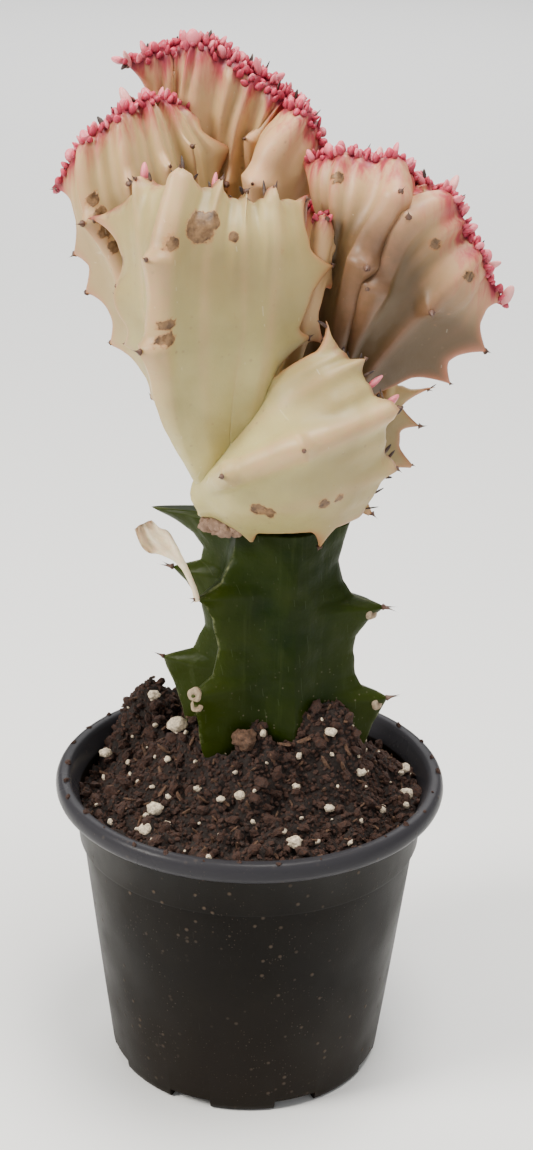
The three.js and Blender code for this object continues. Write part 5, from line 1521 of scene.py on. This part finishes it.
def make_leaf():
    rows, sides = 44, 26
    hold, _ = stem_tooth(*LEAF_TOOTH)
    spots = np.array([hold + np.array(row[:3]) for row in LEAF])
    widths = np.array([row[3] for row in LEAF])
    thick = np.array([row[4] for row in LEAF])
    fine = np.linspace(0, len(LEAF) - 1, rows)
    centre, _ = rib_curve(spots, np.linspace(0, 1, rows))
    widths = np.interp(fine, range(len(LEAF)), widths)
    thick = np.interp(fine, range(len(LEAF)), thick)
    along = unit(np.gradient(centre, axis=0))
    deep = unit(np.cross(np.array([0.25, -1, 0.1]), along))
    thin = unit(np.cross(along, deep))
    turn = np.linspace(0, 2 * np.pi, sides, endpoint=False)
    c, s = np.cos(turn), np.sin(turn)
    rings, edge = [], []
    for k in range(rows):
        share = k / (rows - 1)
        crumple = 0.14 * widths[k] * np.sin(6 * c + 9 * share) * ease(0.45, 0.8, share)
        curl = 0.30 * widths[k] * (c**2 - 0.5) * ease(0.4, 1, share) + crumple
        ragged = 1 + 0.10 * np.sin(23 * share + 2 * c) * ease(0.5, 0.9, share)
        ring = centre[k] + np.outer(widths[k] / 2 * c * ragged, deep[k])
        ring = ring + np.outer(thick[k] / 2 * s * np.sqrt(1 - 0.6 * c**2) + curl, thin[k])
        rings.append(ring)
        edge.append(np.maximum(ease(0.75, 1, np.abs(c)) * ease(0.55, 0.8, share), ease(0.90, 1, share)))
    points, faces = tube(rings)
    return make_piece("withered_leaf", points, faces, hollow=np.append(np.concatenate(edge), [0, 1]))


def make_dry_leaf():
    material, tree, shader, place = make_material(
        "dry_leaf", 0.75, Subsurface_Weight=0.15, Subsurface_Scale=0.001
    )
    cloud = use_group(tree, BLOTCH, ("Vector", place), ("Size", 260.0), ("Roughen", 0.7))
    straw = blend_colour(tree, cloud.outputs["Soft"], (0.92, 0.80, 0.58), (0.74, 0.57, 0.36))
    edge = maths(tree, "MULTIPLY", value_of(tree, "hollow"), span(tree, noise(tree, place, 500.0), 0.3, 0.6))
    browned = blend_colour(tree, maths(tree, "MULTIPLY", edge, 0.75), straw, (0.16, 0.075, 0.04))
    tree.links.new(browned, shader.inputs["Base Color"])
    raise_bumps(tree, shader, noise(tree, place, 900.0, 4.0, 0.7), 0.35, 0.8)
    return material


withered_leaf = make_leaf()
withered_leaf.data.materials.append(make_dry_leaf())
print("withered leaf:", len(withered_leaf.data.polygons), "faces")

# %% [markdown]
# ## The larger perlite grains
#
# Perlite is volcanic glass, puffed up by heat until it is light as foam. The fines were scattered with the
# crumbs, but the largest grains are seen one by one, so each has a place of its own: a pale, rough ball, half
# sunk in the mix, and pulled in from the wall where it would touch it.

# %% Perlite grains
GRAINS = [  # x, y, radius
    (-21.5, -4, 2.9), (-26.6, -27.5, 2.3), (-29, -34, 2.0), (-30, 25, 1.9), (-45, 17, 2.0), (13, -40, 2.3),
    (46, 5, 1.9), (46, -9, 2.0), (23, -17, 1.7), (-2.5, -29, 1.6), (23, -27, 1.5), (32, -17, 1.6),
    (12, 38, 2.0), (34, 28, 1.9), (-12, 42, 1.7),
]


def make_grains():
    skins = []
    for k, (x, y, radius) in enumerate(GRAINS):
        inward = min(1.0, (float(pot_inside(MIX_EDGE_Z)) - 1.3 * radius - 0.6) / math.hypot(x, y))
        x, y = x * inward, y * inward
        middle = (x, y, float(mix_height(x, y)) + radius * 0.5)
        skins.append(make_lump(middle, (radius, radius * 0.85, radius * 0.75), 50 + 3 * k, 0.13, 16))
    return make_piece("perlite", *join_skins(skins))


perlite = make_grains()
perlite.data.materials.append(PERLITE)
print("perlite:", len(GRAINS), "grains")

# %% [markdown]
# ## Hand the pieces to the frame
#
# Every piece rides on the one body, says which CAD nodes it stands for, and names its finish.

# %% Ride, replace and name the finishes
def nodes_named(start):
    return [name for name in sorted(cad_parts) if name.startswith(start)]


PIECES = [  # piece, finish, the CAD nodes it stands for
    (pot, "pot_plastic", ["pot"]),
    (mix_bed, "mix", ["potting_mix"]),
    (mix_crumbs, "mix", []), (mix_clumps, "mix", []), (mix_chips, "mix", []),
    (rim_crumbs, "mix", []),
    (perlite_fines, "perlite", []),
    (perlite, "perlite", nodes_named("perlite")),
    (clod, "mix", ["clod"]),
    (rootstock, "stem_skin", ["rootstock"]),
    (leaf_scars, "scar", nodes_named("leaf_scar")),
    (stem_horns, "spine", nodes_named("stem_spine")),
    (callus, "callus", ["graft_callus"]),
    (withered_leaf, "dry_leaf", ["withered_leaf"]),
    (crest, "crest_skin", ["crest"]),
    (margin_buds, "crest_skin", []), (margin_scales, "crest_skin", []), (margin_knobs, "crest_skin", []),
    (margin_nubs, "crest_skin", []),
    (margin_scraps, "spine", []),
    (crest_horns, "spine", nodes_named("crest_spine")),
]
for piece, finish, nodes in PIECES:
    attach(piece, "root")
    if nodes:
        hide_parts(*nodes)
print(len(PIECES), "pieces,", sum(len(p.data.polygons) for p, _, _ in PIECES), "faces")

bpy.context.view_layer.update()
